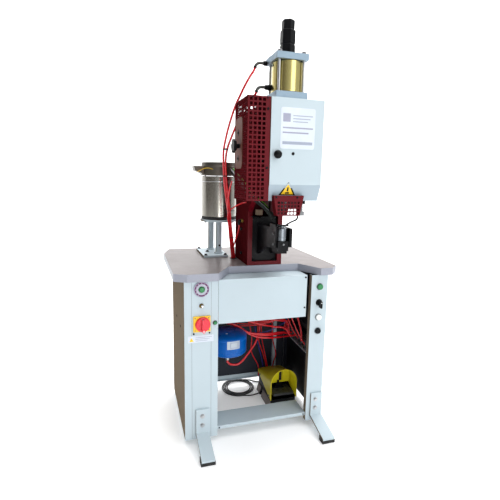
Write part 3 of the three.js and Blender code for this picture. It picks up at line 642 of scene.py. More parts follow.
def column_label():
    """A small blank label with a few plain lines and a plain triangle."""
    card = Shape().prism(rounded(left.x0 + 15, left.x1 - 19, CARD_LOW, CARD_HIGH, 2), "Y", left.y0 - 0.6,
                         left.y0 - 0.02)
    card.done("column_label", "label", soft=0.15, segments=1)
    lines = Shape()
    for row in range(3):
        lines.box(left.x0 + 45, left.x1 - 26 - 9 * row, left.y0 - 0.8, left.y0 - 0.5,
                  CARD_LOW + 20 - 7 * row, CARD_LOW + 22 - 7 * row)
    lines.done("column_label_lines", "label_print", soft=0.08, segments=1)
    mark = Shape().prism([(left.x0 + 20, CARD_LOW + 5), (left.x0 + 38, CARD_LOW + 5),
                          (left.x0 + 29, CARD_LOW + 22)], "Y", left.y0 - 0.85, left.y0 - 0.5)
    mark.done("column_label_mark", "yellow_plastic", soft=0.1, segments=1)


# ---------------------------------------------------------------- controls
TOGGLE = (-252, left.y0, 616)
TOGGLE_LEAN = math.radians(12)
SELECTOR_HEIGHT = 593


def timer_details():
    dial = Span("timer_dial")
    knob = Span("timer_knob")
    body = Shape().lathe([(13, 0), (31.2, 0), (32, -1), (32, -5.4), (30.6, -6.7), (29.6, -6.9),
                          (29.2, -6.4), (22.4, -6.4), (22, -6.9), (13.6, -6.9), (13, -6.2)],
                         (dial.x, dial.y1, dial.z), "Y", 72, closed=True)
    body.done("timer_dial_body", "dial_grey", stands_for=("timer_dial",), sharp=24)
    scale = Shape().lathe([(22.6, -6.3), (29, -6.3), (29, -6.75), (22.6, -6.75)],
                          (dial.x, dial.y1, dial.z), "Y", 72, closed=True)
    scale.done("timer_dial_scale", "dial_purple")
    ticks = Shape()
    for step in range(11):
        angle = math.radians(-60 + 30 * step)
        along = Vector((math.cos(angle), 0, math.sin(angle)))
        across = Vector((-along.z, 0, along.x))
        start = Vector((dial.x, dial.y1 - 6.7, dial.z))
        long = 28.6 if step % 5 == 0 else 27
        corners = [start + along * reach + across * aside
                   for reach, aside in ((23.4, -0.6), (long, -0.6), (long, 0.6), (23.4, 0.6))]
        ticks.loops([corners, [corner + Vector((0, -0.3, 0)) for corner in corners]])
    ticks.done("timer_dial_ticks", "white_plastic")
    grip = Shape()
    top = knob.y0
    grip.lathe([(0, top), (9.4, top), (10.8, top + 0.7), (11.6, top + 2.2), (12, knob.y1 - 0.5),
                (11.6, knob.y1), (0, knob.y1)], (knob.x, 0, knob.z), "Y", 96, wave=0.018, waves=16)
    grip.box(knob.x - 0.9, knob.x + 0.9, top - 0.35, top + 1, knob.z + 1, knob.z + 10)
    grip.done("timer_grip", "green_plastic", "timer", ("timer_knob",), sharp=40)


def toggle_details():
    bush = Shape().lathe([(3.9, 0.5), (9.6, 0.5), (9.6, -0.9), (6.4, -1), (6.2, -7.2), (5.4, -8),
                          (4.4, -8), (3.9, -7)], TOGGLE, "Y", 40, closed=True)
    bush.done("toggle_bush", "black_metal", sharp=35)
    Shape().hexagon(8.8, -1, -4.2, TOGGLE, "Y", 0.5).done("toggle_nut", "brass_fitting", sharp=25)
    lever = Shape()
    direction = Vector((0, -math.cos(TOGGLE_LEAN), math.sin(TOGGLE_LEAN)))
    upward = Vector((0, math.sin(TOGGLE_LEAN), math.cos(TOGGLE_LEAN)))
    profile = [(0, -1.9), (3.0, -1.8), (3.2, 0), (2.5, 9), (2.9, 15), (4.4, 19), (4.8, 22), (3.9, 24),
               (0, 24.3)]
    rings = []
    for radius, distance in profile:
        ring = []
        for step in range(32):
            angle = 2 * math.pi * step / 32
            reach = max(radius, 0.01)
            aside = Vector((math.cos(angle), 0, 0)) + upward * math.sin(angle)
            ring.append(Vector(TOGGLE) + direction * distance + aside * reach)
        rings.append(ring)
    lever.loops(rings)
    lever.ball(TOGGLE, 4.4)
    lever.done("toggle_stick", "chrome", "toggle", ("toggle_lever",), sharp=50)


def main_switch_details():
    plate = Span("switch_plate")
    corners = Shape()
    for x in (plate.x0 + 7, plate.x1 - 7):
        for z in (plate.z0 + 7, plate.z1 - 7):
            corners.screw((x, plate.y0, z), "Y", -1, 2.6, 1.4)
    corners.done("switch_plate_screws", "steel_dark")
    switch = Span("switch_knob")
    disc = Shape()
    face = plate.y0 - 0.3
    disc.lathe([(0, face), (30, face), (30.8, face - 1.2), (30.2, face - 10.5), (27.6, face - 12.8),
                (0, face - 12.8)], (switch.x, 0, plate.z), "Y", 96, wave=0.01, waves=24)
    disc.peg(6.9, face, left.y0 + 14, (switch.x, 0, plate.z), "Y")
    handle = [(switch.x - 5.6, switch.z1 - 5), (switch.x + 5.6, switch.z1 - 5), (switch.x + 6.8, plate.z),
              (switch.x + 6.4, switch.z0 + 9), (switch.x, switch.z0), (switch.x - 6.4, switch.z0 + 9),
              (switch.x - 6.8, plate.z)]
    disc.prism(handle, "Y", switch.y0, face - 12)
    disc.done("main_switch_knob", "red_plastic", "main_switch", ("switch_knob",), soft=1.1, segments=3)
    pointer = Shape().prism(rounded(switch.x - 1.6, switch.x + 1.6, switch.z0 + 5, switch.z0 + 15, 1), "Y",
                            switch.y0 - 0.3, switch.y0 + 1)
    pointer.done("main_switch_mark", "white_plastic", "main_switch", soft=0.15, segments=1)


BUTTONS = {"auxiliary": ("auxiliary_push", "green_plastic"), "start": ("start", "green_plastic"),
           "white": ("white_push", "white_plastic"), "black": ("black_push", "black_plastic")}


def button_details():
    for name, (body, look) in BUTTONS.items():
        push_button(name, body, look)


def selector_details():
    selector = Span("selector_knob")
    button_ring("selector", selector.x, SELECTOR_HEIGHT, 12.5, "black_plastic")
    turn = Shape().lathe([(0, left.y0 + 12), (12.3, left.y0 + 12), (12.3, left.y0 - 7.6),
                          (11, left.y0 - 9), (0, left.y0 - 9)], (selector.x, 0, SELECTOR_HEIGHT), "Y", 48)
    turn.prism([(selector.x - 5, selector.z1 - 3), (selector.x, selector.z1),
                (selector.x + 5, selector.z1 - 3), (selector.x + 4.2, selector.z0 + 3),
                (selector.x, selector.z0), (selector.x - 4.2, selector.z0 + 3)], "Y", selector.y0,
               left.y0 - 8.4)
    turn.done("selector_handle", "black_plastic", "selector", ("selector_knob",), soft=0.8, segments=3)
    dot = Shape().peg(2.2, 0, -0.5, (selector.x, selector.y0 + 0.1, selector.z1 - 8), "Y", 20)
    dot.done("selector_dot", "white_plastic", "selector")


def button_ring(name, x, z, radius, look):
    ring = Shape()
    inner = radius + 0.6
    outer = inner + 2
    ring.lathe([(inner, 1), (outer, 1), (outer, -1.6), (outer - 1.2, -3.4), (inner + 0.6, -4),
                (inner, -3.2)], (x, left.y0 - 0.02, z), "Y", 56, closed=True)
    ring.done(f"{name}_ring", look, sharp=32)


def push_button(name, body, look):
    node = f"{name}_button"
    span = Span(node)
    radius = (span.x1 - span.x0) / 2
    button_ring(name, span.x, span.z, radius, "steel_dark")
    cap = Shape()
    front = span.y0
    cap.lathe([(0, front + 0.7), (radius * 0.55, front + 0.5), (radius * 0.78, front),
               (radius * 0.93, front + 0.5), (radius - 0.1, front + 1.6), (radius - 0.1, span.y1),
               (0, span.y1)], (span.x, 0, span.z), "Y", 48)
    cap.done(f"{name}_button_cap", look, body, (node,), sharp=40)


# ---------------------------------------------------------------- press head
press = Span("press_frame")
cover = Span("head_cover")
cage = Span("side_cage")
guard = Span("punch_guard")
RAM = (46, -272)                         # x and y of the line on which the dies meet
FRAME_RIGHT = 126                        # the frame's right side
ARM_LEFT, ARM_RIGHT = 17, 88
SIDE_SCREWS = ((-255, 1120), (-255, 1190), (-255, 1340), (20, 790), (20, 900))
LABEL_LOW, LABEL_HIGH = 1228, 1366
SLANT_TOP = 1105                         # below this height the cover leans back
SLANT_DEPTH, SLANT_HEIGHT = 25, 58


def cover_label_details():
    face = cover.y0
    label = Shape().prism(rounded(cover.x0 + 35, cover.x1 - 34, LABEL_LOW, LABEL_HIGH, 8), "Y", face - 0.7,
                          face - 0.02)
    label.done("cover_label", "label", "cover", soft=0.2)
    pale = Shape().prism(rounded(cover.x0 + 43, cover.x0 + 71, 1318, 1346, 2), "Y", face - 0.95, face - 0.6)
    for row in range(2):
        pale.box(cover.x0 + 43, cover.x1 - 42 - 16 * row, face - 0.95, face - 0.6, 1296 - 16 * row,
                 1301 - 16 * row)
    pale.done("cover_label_pale_bars", "label_pale", "cover", soft=0.08, segments=1)
    bars = Shape()
    for row in range(3):
        bars.box(cover.x0 + 80, cover.x1 - 44 - 9 * row, face - 0.95, face - 0.6, 1338 - 10 * row,
                 1341 - 10 * row)
    bars.box(cover.x0 + 43, cover.x1 - 42, face - 0.95, face - 0.6, 1243, 1253)
    bars.done("cover_label_bars", "label_print", "cover", soft=0.08, segments=1)


def cover_sign_details():
    """A yellow triangle with a plain mark, and the darker band it stands on: painted shade over the cover's
    slanted lower part.
    """
    sign = Shape()
    edge = [(-7, 1068), (57, 1068), (43, 1088), (31, 1105), (26, 1112.5), (22, 1112.5), (17, 1105),
            (5, 1088)]
    sign.loops([[slanted(u, v, proud) for u, v in edge] for proud in (0.1, 0.7)])
    sign.done("cover_sign_edge", "black_plastic", "cover", soft=0.2, segments=1)
    field = Shape()
    inset = [(1.5, 1071.4), (48.5, 1071.4), (37, 1088), (26.4, 1103.4), (24.2, 1106.5), (21.6, 1103.4),
             (11, 1088)]
    field.loops([[slanted(u, v, proud) for u, v in inset] for proud in (0.5, 0.95)])
    field.done("cover_sign_field", "yellow_plastic", "cover", soft=0.1, segments=1)
    mark = Shape()
    for left_end, right_end, low_z, high_z in ((17, 31, 1073, 1079), (21, 27, 1082, 1096)):
        corners = [(left_end, low_z), (right_end, low_z), (right_end, high_z), (left_end, high_z)]
        mark.loops([[slanted(u, v, proud) for u, v in corners] for proud in (0.9, 1.15)])
    mark.done("cover_sign_mark", "dark_hole", "cover", soft=0.05, segments=1)
    # painted shade: a darker white over the lower band of the cover, which leans back and down
    band = Shape()
    low = [(cover.x0 + 1, cover.z0 + 1), (cover.x1 - 1, cover.z0 + 1), (cover.x1 - 1, 1104.5),
           (cover.x0 + 1, 1104.5)]
    band.loops([[slanted(u, v, proud) for u, v in low] for proud in (0.01, 0.08)])
    band.done("cover_lower_band_painted_shade", "white_band", "cover")


def cover_fittings():
    face = cover.y0
    # painted shade: a dark inset stands for the inside of the hole in the cover
    hole = Shape().lathe([(0, -0.2), (3.4, -0.2), (3.8, -1.4), (5.2, -1.5), (5.8, -0.02), (0, -0.02)],
                         (37, face, 1212), "Y", 28)
    hole.done("cover_hole", "dark_hole", "cover")

    knob = Span("cover_knob")
    ball = Shape().ball((knob.x, knob.y0 + 14.5, knob.z), 14.4)
    ball.lathe([(0, 0), (7, 0), (7, -1.6), (5, -2.2), (5, -9), (0, -9)], (knob.x, face - 0.3, knob.z), "Y",
               40)
    ball.done("cover_ball", "black_plastic", "cover_latch", ("cover_knob",), sharp=35)


def hinge_details():
    for middle in (cover.z0 + 82, cover.z1 - 82):
        axis = (cover.x1, cover.y1, 0)
        fixed = Shape()
        for low, high in ((-32, -11), (11, 32)):
            fixed.lathe([(0, middle + low), (4.6, middle + low), (5.2, middle + low + 0.6),
                         (5.2, middle + high - 0.6), (4.6, middle + high), (0, middle + high)], axis, "Z",
                        32)
        fixed.done(f"hinge_{round(middle)}_fixed", "steel_dark")
        turning = Shape().lathe([(0, middle - 10.6), (4.6, middle - 10.6), (5.2, middle - 10),
                (5.2, middle + 10), (4.6, middle + 10.6), (0, middle + 10.6)], axis, "Z", 32)
        turning.done(f"hinge_{round(middle)}_turning", "steel_dark", "cover")


def slant(z):
    """How far the cover's lower band has leaned back at height z."""
    return SLANT_DEPTH * (SLANT_TOP - z) / SLANT_HEIGHT


def slanted(x, z, proud):
    """A point on the cover's slanted lower band, standing proud of it."""
    normal = Vector((0, -SLANT_HEIGHT, -SLANT_DEPTH)).normalized()
    return Vector((x, cover.y0 + max(0, slant(z)), z)) + normal * proud


def cage_details():
    left_x, front, back = cage.x0 + 3, cage.y0, cage.y1
    end, step, behind = press.x0 - 0.3, cover.x0 - 0.5, cover.y1 + 6
    corners = [(end, back), (left_x, back), (left_x, front), (step, front), (step, behind), (end, behind)]
    folds = [0]
    for (x0, y0), (x1, y1) in zip(corners, corners[1:]):
        folds.append(folds[-1] + abs(x1 - x0) + abs(y1 - y0))

    def point(u, v):
        for index in range(len(corners) - 1):
            if u <= folds[index + 1] or index == len(corners) - 2:
                share = (u - folds[index]) / (folds[index + 1] - folds[index])
                (x0, y0), (x1, y1) = corners[index], corners[index + 1]
                return x0 + (x1 - x0) * share, y0 + (y1 - y0) * share, v

    pitch, size = 15.6, 10.2
    columns = (row_of_spans(folds[0] + 17, pitch, size, 5) + row_of_spans(folds[1] + 13, pitch, size, 10)
               + row_of_spans(folds[2] + 11.5, pitch, size, 4))
    rows = row_of_spans(cage.z0 + 11.5, pitch, size, 22)
    folded_sheet("cage_mesh", folds, (cage.z0, cage.z1 - 2), point, (columns, rows), "red_paint", "root",
                 ("side_cage",))
    Shape().prism(corners, "Z", cage.z1 - 2, cage.z1).done("cage_lid", "red_paint", soft=0.6)

    strip = Shape().prism(rounded(-319, -226, 1158, 1337, 22), "X", cage.x0, left_x - 0.2)
    strip.done("cage_strip", "strip_brown", soft=0.5)
    # painted shade: dark insets stand for the slots, through which the dark inside shows
    slots = Shape()
    for z in (1194, 1285):
        slots.prism(rounded(-275, -263, z - 13, z + 13, 5.9), "X", cage.x0 - 0.25, cage.x0 + 1)
    slots.done("cage_strip_slots", "dark_hole")

    screws = Shape()
    for z in (1357, 1161):
        screws.screw((-58, front, z), "Y", -1, 4.2, 3.2)
    for z in (1194, 1285):
        screws.screw((cage.x0 - 0.25, -269, z), "X", -1, 5, 3.4)
    for x in (cage.x0 + 20, step - 12):
        screws.screw((x, front, cage.z1 - 6), "Y", -1, 2.6, 1.8)
    screws.done("cage_screws", "black_metal")


def star_knob_details():
    star = Span("star_knob")
    grip = Shape()
    face, centre_y, centre_z = star.x1, -287, 1237
    grip.lathe([(0, face - 14), (18, face - 14), (21, face - 15.5), (22.6, face - 18), (22.6, face - 23.5),
                (20.4, face - 26), (9, face - 26.6), (8, face - 25.6), (0, face - 25.4)],
               (0, centre_y, centre_z), "X", 120, wave=0.13, waves=5)
    grip.lathe([(0, face), (7.6, face), (8, face - 1), (8, face - 15), (0, face - 15)],
               (0, centre_y, centre_z), "X", 32)
    grip.done("star_grip", "black_plastic", "cage_knob", ("star_knob",), sharp=36)


def guard_details():
    top, bottom, centre = guard.z1, guard.z0, guard.x
    top_half, bottom_half = 58, 44
    pitch, size = 12.5, 8.6
    columns = row_of_spans(centre - 3 * pitch, pitch, size, 7)
    rows = row_of_spans(bottom + 9, pitch, size, 4)
    flange = 32

    def half(z):
        return bottom_half + (top_half - bottom_half) * (z - bottom) / (top - bottom)

    def flange_end(z):
        if z < cover.z0 - 0.6:
            return guard.y0 + flange
        return min(guard.y0 + flange, cover.y0 + slant(z) - 1.2)

    def point(u, z):
        reach = min(u, top_half) if u > 0 else max(u, -top_half)
        if abs(u) < top_half:
            return centre + reach, guard.y0, z
        side = math.copysign(half(z), u)
        along = (abs(u) - top_half) / flange
        return centre + side, guard.y0 + (flange_end(z) - guard.y0) * along, z

    folds = [-top_half - flange, -top_half, top_half, top_half + flange]
    shifted = [(start - centre, end - centre) for start, end in columns]
    folded_sheet("guard_mesh", folds, (bottom, cover.z0 - 1, cover.z0, top), point, (shifted, rows),
                 "red_paint", "cover", ("punch_guard",))
    screws = Shape()
    for x in (centre - 48, centre + 32):
        screws.screw((x, guard.y0, top - 6.5), "Y", -1, 3.6, 2.6)
        screws.peg(4, 2, 17, (x, guard.y0, top - 6.5), "Y", 24)
    screws.done("guard_screws", "black_metal", "cover")


def die_details():
    x, y = RAM
    low = Span("lower_die")
    die = Shape().lathe([(0, low.z0), (16.6, low.z0), (17.4, low.z0 + 0.8), (17.4, low.z0 + 14),
                         (16.7, low.z0 + 14.8), (16.7, low.z0 + 16.4), (17.4, low.z0 + 17.2),
                         (17.4, low.z1 - 13.6), (16.6, low.z1 - 12.6), (13.4, low.z1 - 9.3),
                         (9.2, low.z1 - 9), (8.9, low.z1 - 0.7), (8.2, low.z1), (6.2, low.z1),
                         (5.4, low.z1 - 1.6), (0, low.z1 - 2)], (x, y, 0), "Z", 72)
    die.done("lower_die_turned", "die_steel", stands_for=("lower_die",), sharp=24)

    punch = Span("upper_die")
    tip = Shape().lathe([(0, punch.z0 + 1.2), (4.4, punch.z0 + 1), (5, punch.z0), (6.4, punch.z0),
                         (6.9, punch.z0 + 0.6), (6.9, punch.z0 + 16), (12.6, punch.z0 + 20),
                         (13, punch.z0 + 21), (13, punch.z0 + 35), (13.8, punch.z0 + 36.4),
                         (18.4, punch.z0 + 40.6), (18.9, punch.z0 + 42), (18.9, punch.z1 - 0.6),
                         (18.2, punch.z1), (0, punch.z1)], (x, y, 0), "Z", 72)
    tip.done("upper_die_turned", "die_dark", "ram", ("upper_die",), sharp=24)


def ram_details():
    x, y = RAM
    span = Span("ram")
    rod = Shape().lathe([(0, span.z0), (22.8, span.z0), (23.9, span.z0 + 1.2), (23.9, span.z0 + 30),
                         (23.2, span.z0 + 31), (23.2, span.z0 + 33), (23.9, span.z0 + 34), (23.9, 1287),
                         (22, 1290), (14.4, 1290), (13.9, 1291), (13.9, 1502), (49.6, 1502), (50.8, 1503),
                         (50.8, 1511), (48.8, 1511.4), (48.8, 1516.4), (50.8, 1517), (50.8, 1524.6),
                         (49.6, span.z1), (0, span.z1)], (x, y, 0), "Z", 72)
    rod.done("ram_turned", "steel", "ram", ("ram",), sharp=24)


def press_screws():
    bolts = Shape()
    for y, z in SIDE_SCREWS:
        for out, side in ((-1, press.x0), (1, FRAME_RIGHT)):
            bolts.screw((side, y, z), "X", out, 6.5, 6)
    for bolt_x in (press.x0 + 31, FRAME_RIGHT - 31):
        bolts.bolt((bolt_x, -60, 766.4), "Z", 1, 8, 7)
    bolts.done("frame_screws", "black_metal", sharp=28)

    arm = Shape()
    for z in (873, 915):
        for out, side in ((-1, ARM_LEFT), (1, ARM_RIGHT)):
            arm.screw((side, -262, z), "X", out, 4.6, 4)
    arm.screw((46, -293.8, 876), "Y", -1, 4.2, 3.4)
    arm.done("arm_screws", "steel_dark", sharp=28)


# ---------------------------------------------------------------- cylinder
ROD, THREAD_START = 4.9, 1552


def cylinder_details():
    tube = Span("cylinder_tube")
    barrel = Shape().lathe([(52, tube.z0), (55.4, tube.z0), (56, tube.z0 + 0.7), (56, tube.z1 - 0.7),
                            (55.4, tube.z1), (52, tube.z1)], (tube.x, tube.y, 0), "Z", 128, closed=True)
    barrel.done("brass_tube", "brass", stands_for=("cylinder_tube",), sharp=24)
    seals = Shape()
    for z, out in ((tube.z0, 1), (tube.z1, -1)):
        seals.lathe([(55.6, z - out * 0.2), (57.6, z - out * 0.2), (57.6, z + out * 1.2),
                     (56.1, z + out * 1.8), (55.6, z + out * 1.8)], (tube.x, tube.y, 0), "Z", 96,
                    closed=True)
    seals.done("cylinder_seals", "black_plastic")


def tie_rod_details():
    for index in range(4):
        node = f"tie_rod_{index + 1}"
        span = Span(node)
        tie = Shape()
        threads = [(0, span.z0), (ROD, span.z0), (ROD, THREAD_START)]
        threads += [(ROD - 0.35 * (step % 2), THREAD_START + 0.5 + 0.9 * step) for step in range(16)]
        threads += [(3.9, span.z1), (0, span.z1)]
        tie.lathe(threads, (span.x, span.y, 0), "Z", 28)
        tie.hexagon(8.4, span.z1 - 8.4, span.z1 - 0.4, (span.x, span.y, 0), "Z", 0.9)
        tie.done(f"{node}_turned", "steel", stands_for=(node,), sharp=26)


def adjuster_details():
    adjuster = Span("stroke_adjuster")
    hexes = Shape()
    centre = (adjuster.x, adjuster.y, 0)
    hexes.hexagon(28, adjuster.z0, 1596, centre, "Z", 2)
    hexes.peg(23.4, 1595, 1599, centre, "Z", 48)
    hexes.hexagon(28, 1598, 1645, centre, "Z", 2)
    hexes.peg(21, 1644, 1648, centre, "Z", 48)
    hexes.hexagon(24, 1647, adjuster.z1, centre, "Z", 2)
    hexes.done("adjuster_hexes", "black_metal", "adjuster", ("stroke_adjuster",), soft=0.5, segments=2)


ELBOWS = {"upper": (-225, 1541), "lower": (-247, 1453)}    # y and z of their threads
ELBOW_REACH = 50.8                       # from an elbow's far end to its thread


def elbow_line(name):
    """The line of one elbow's bent arm, and the direction in which its hose leaves."""
    y, z = ELBOWS[name]
    face = Span(f"elbow_{name}").x0 + ELBOW_REACH
    bends = [(10, 0), (22, 0), (34, 2), (42, 10), (46, 20)]
    line = smooth_path([(face - out, y, z - drop) for out, drop in bends], 6)
    return line, (line[-1] - line[-2]).normalized()


def elbow_details():
    for name, (y, z) in ELBOWS.items():
        face = Span(f"elbow_{name}").x0 + ELBOW_REACH
        thread = Shape().hexagon(9, face, face - 12, (0, y, z), "X", 1)
        thread.peg(6.6, face - 11, face - 14, (0, y, z), "X")
        if name == "lower":
            thread.peg(10, face - 0.5, face + 13, (0, y, z), "X", 40)
        thread.done(f"elbow_{name}_thread", "black_metal", sharp=25)
        arm, away = elbow_line(name)
        hoses(f"elbow_{name}_arm", [arm], 5.5, "elbow_steel", stands_for=(f"elbow_{name}",))
        hoses(f"elbow_{name}_collar", [[arm[-1] - away * 5, arm[-1] - away * 0.5]], 6.6, "black_metal")


# ---------------------------------------------------------------- bowl feeder
drum = Span("vibrator_drum")
bowl = Span("feeder_bowl")
SNAPS, SNAP_SEED = 46, 7
STAND_BASE = (-188, -68, 130, 351)       # left, right, front and back edge
STAND_POSTS = ((-118, 312), (-102, 195))
STAND_BOLTS = ((-176, 338), (-80, 338), (-176, 143), (-80, 143), (-150, 240))
BOWL = (-92, 243)                        # x and y of the middle of the drum and the bowl


def stand_details():
    stand = Span("bowl_stand")
    x, y = BOWL
    base = Shape().prism(rounded(*STAND_BASE, 5), "Z", stand.z0, stand.z0 + 9.7)
    for post_x, post_y in STAND_POSTS:
        base.lathe([(0, stand.z0 + 9), (21, stand.z0 + 9), (21, stand.z0 + 14), (15.6, stand.z0 + 15.5),
                    (14.8, stand.z0 + 18), (14.8, stand.z1 - 14), (17, stand.z1 - 12), (17, stand.z1 - 9),
                    (0, stand.z1 - 9)], (post_x, post_y, 0), "Z", 48)
    base.done("stand_base", "white_paint", stands_for=("bowl_stand",), soft=0.7)
    plate = Shape().lathe([(0, stand.z1 - 10), (91, stand.z1 - 10), (92, stand.z1 - 9), (92, stand.z1 - 1),
                           (91, stand.z1), (0, stand.z1)], (x, y, 0), "Z", 128)
    plate.done("stand_plate", "white_paint", sharp=24)
    bolts = Shape()
    for bolt_x, bolt_y in STAND_BOLTS:
        bolts.bolt((bolt_x, bolt_y, stand.z0 + 9.7), "Z", 1, 6.5, 7)
    bolts.screw((x - 70, y - 20, stand.z1 - 10), "Z", -1, 5, 7)
    bolts.screw((x + 60, y - 40, stand.z1 - 10), "Z", -1, 5, 7)
    bolts.screw((-102, 180, 800), "Y", -1, 4.5, 4)
    bolts.done("stand_bolts", "black_metal", sharp=26)


def drum_details():
    x, y = BOWL
    foot = Shape().lathe([(70, drum.z0), (85.4, drum.z0), (86, drum.z0 + 0.8), (86, drum.z0 + 13),
                          (85.2, drum.z0 + 14), (70, drum.z0 + 14)], (x, y, 0), "Z", 128, closed=True)
    foot.done("drum_foot_ring", "rubber", sharp=24)
    shell = Shape().lathe([(0, drum.z0 + 1), (82, drum.z0 + 1), (82, drum.z0 + 14.4),
                           (84.4, drum.z0 + 14.4), (85.2, drum.z0 + 15.2), (85.2, 1104.5), (84.4, 1105.6),
                           (82.6, 1106), (82.6, 1110), (84.4, 1110.4), (85.4, 1111.4), (85.4, drum.z1 - 3),
                           (83.6, drum.z1 - 0.6), (81, drum.z1), (0, drum.z1)], (x, y, 0), "Z", 144)
    shell.done("drum_shell", "drum_steel", stands_for=("vibrator_drum",), sharp=24)
    band = Shape().lathe([(82.7, 1106.2), (85.9, 1106.4), (86, 1107), (86, 1109), (85.9, 1109.6),
                          (82.7, 1109.8)], (x, y, 0), "Z", 128, closed=True)
    band.done("drum_band", "chrome", sharp=30)
    clamps = Shape()
    for angle in (205, 325, 85):
        turn = math.radians(angle)
        place = (x + 82 * math.cos(turn), y + 82 * math.sin(turn), drum.z1 + 0.2)
        clamps.peg(3.4, 0, 2.6, place, "Z", 20)
    clamps.done("drum_clamps", "black_metal", sharp=30)


def bowl_details():
    x, y = BOWL
    dish = Shape().lathe([(0, bowl.z0), (86.4, bowl.z0), (88, bowl.z0 + 1.4), (88, 1179), (87, 1181),
                          (86.2, 1183), (86.2, bowl.z1 - 0.8), (85.6, bowl.z1), (83.6, bowl.z1),
                          (83, bowl.z1 - 0.8), (83, 1146), (80, 1144.4), (24, 1150), (0, 1153)], (x, y, 0),
                         "Z", 144)
    dish.done("bowl_dish", "bowl_steel", "bowl", ("feeder_bowl",), sharp=26)
    ramp = Shape()
    rings = []
    for step in range(97):
        turn = math.radians(-200 + 620 * step / 96)
        height = 1147 + 46 * step / 96
        along = Vector((math.cos(turn), math.sin(turn), 0))
        inner, outer = along * 73, along * 83.2
        rings.append([Vector((x, y, height)) + inner, Vector((x, y, height - 1.2)) + outer,
                      Vector((x, y, height - 2.4)) + outer, Vector((x, y, height - 1.6)) + inner])
    ramp.loops(rings)
    ramp.done("bowl_ramp", "bowl_steel", "bowl", sharp=50)
    pan = Shape()
    wall = [(-217.5, 1179.6), (-213.5, 1160), (-174, 1143), (-174, 1141), (-215, 1158), (-220.6, 1179.6)]
    pan.prism(wall, "Y", y - 36, y + 36)
    for side in (-36, 34.4):
        pan.prism([(-219.6, 1179.6), (-214.6, 1159), (-174, 1142), (-174, 1179.6)], "Y", y + side,
                  y + side + 1.6)
    pan.done("bowl_pan", "bowl_steel", "bowl", soft=0.4)
    snaps = Shape()
    chance = random.Random(SNAP_SEED)
    for _ in range(SNAPS):
        reach, turn = 62 * math.sqrt(chance.random()), chance.uniform(0, 2 * math.pi)
        place = (x + reach * math.cos(turn), y + reach * math.sin(turn),
                 1153.5 - reach * 0.1 + chance.uniform(0, 1.5))
        snaps.lathe([(0, 0), (5.2, 0), (5.6, 0.7), (4.6, 2.2), (2.2, 2.6), (1.9, 4.4), (0, 4.6)], place,
                    "Z", 16)
    snaps.done("bowl_snaps", "chrome", "bowl", sharp=35)
    wire = [(-205, y - 38, 1152), (-196, y - 60, 1158), (-178, y - 70, 1167), (-160, y - 72, 1170),
            (-142, y - 74, 1166), (-128, y - 76, 1158)]
    hoses("bowl_wire", [smooth_path(wire)], 1.2, "yellow_plastic")


def track_details():
    edge = [(-47, 140, 1170), (-52, 64, 1152), (-54, -27, 1128), (-50, -107, 1096), (-43, -160, 1066),
            (-24, -190, 1046), (-3, -206, 1025), (12, -222, 1004)]
    hoses("track_green_edge", [smooth_path(edge)], 2.2, "track_green")
    guide = [(-61, 140, 1169), (-67, 63, 1151), (-69, -26, 1127), (-65, -110, 1095), (-58, -166, 1065),
             (-40, -200, 1046), (-18, -220, 1026), (2, -238, 1004)]
    hoses("track_rail", [smooth_path(guide)], 1.8, "steel_dark")


# ---------------------------------------------------------------- air supply
tank = Span("air_tank")
manifold = Span("valve_manifold")
VALVES, VALVE_PITCH = 6, 40
# distance from the tank, first and last angle, lowest and highest point
TANK_PLATES = (
    ("tank_plate", 0.4, -105, -66, 362, 400, "plate_metal"),
    ("tank_plate_field", 0.8, -97, -69, 366, 396, "label_print"),
    ("tank_plate_inner", 1.0, -94, -75, 372, 391, "plate_metal"),
)
DUCT = (214, 230, 221, 245.6, 60, 560)   # the cable duct's box


def tank_details():
    x, y = tank.x, tank.y
    low, high, radius, dome = tank.z0 + 31, tank.z1, 89.5, 26
    profile = [(0, low)]
    profile += [(radius * math.sin(math.radians(a)), low + dome - dome * math.cos(math.radians(a)))
                for a in range(8, 91, 8)]
    profile += [(radius, low + dome + 6), (radius, low + dome + 8), (radius - 0.9, low + dome + 9.5),
                (radius, low + dome + 11), (radius, high - dome - 11), (radius - 0.9, high - dome - 9.5),
                (radius, high - dome - 8)]
    profile += [(radius * math.sin(math.radians(a)), high - dome + dome * math.cos(math.radians(a)))
                for a in range(88, 7, -8)]
    profile += [(0, high)]
    vessel = Shape().lathe(profile, (x, y, 0), "Z", 128)
    vessel.done("tank_vessel", "tank_blue", stands_for=("air_tank",), sharp=35)
    fittings = Shape().hexagon(11, low + 2, low - 10, (x, y, 0), "Z", 1.2)
    fittings.lathe([(0, low - 9), (8.6, low - 9), (8.6, tank.z0 + 2), (7.4, tank.z0), (0, tank.z0)],
                   (x, y, 0), "Z", 40)
    fittings.done("tank_fittings", "steel", sharp=26)
    Shape().ball((x - 14, y - 42, high - 4.4), 5, (1.3, 1, 0.3)).done("tank_sticker", "label")
    bracket = Shape().box(left.x1 + 0.4, left.x1 + 40, y + 44, y + 50, 334, 394)
    bracket.box(left.x1 + 0.4, left.x1 + 4, y + 44, y + 84, 334, 394)
    bracket.done("tank_bracket", "steel_dark", soft=0.6)
    for name, proud, first, last, bottom, top, look in TANK_PLATES:
        curved_label(name, x, y, radius + proud, first, last, bottom, top, look)


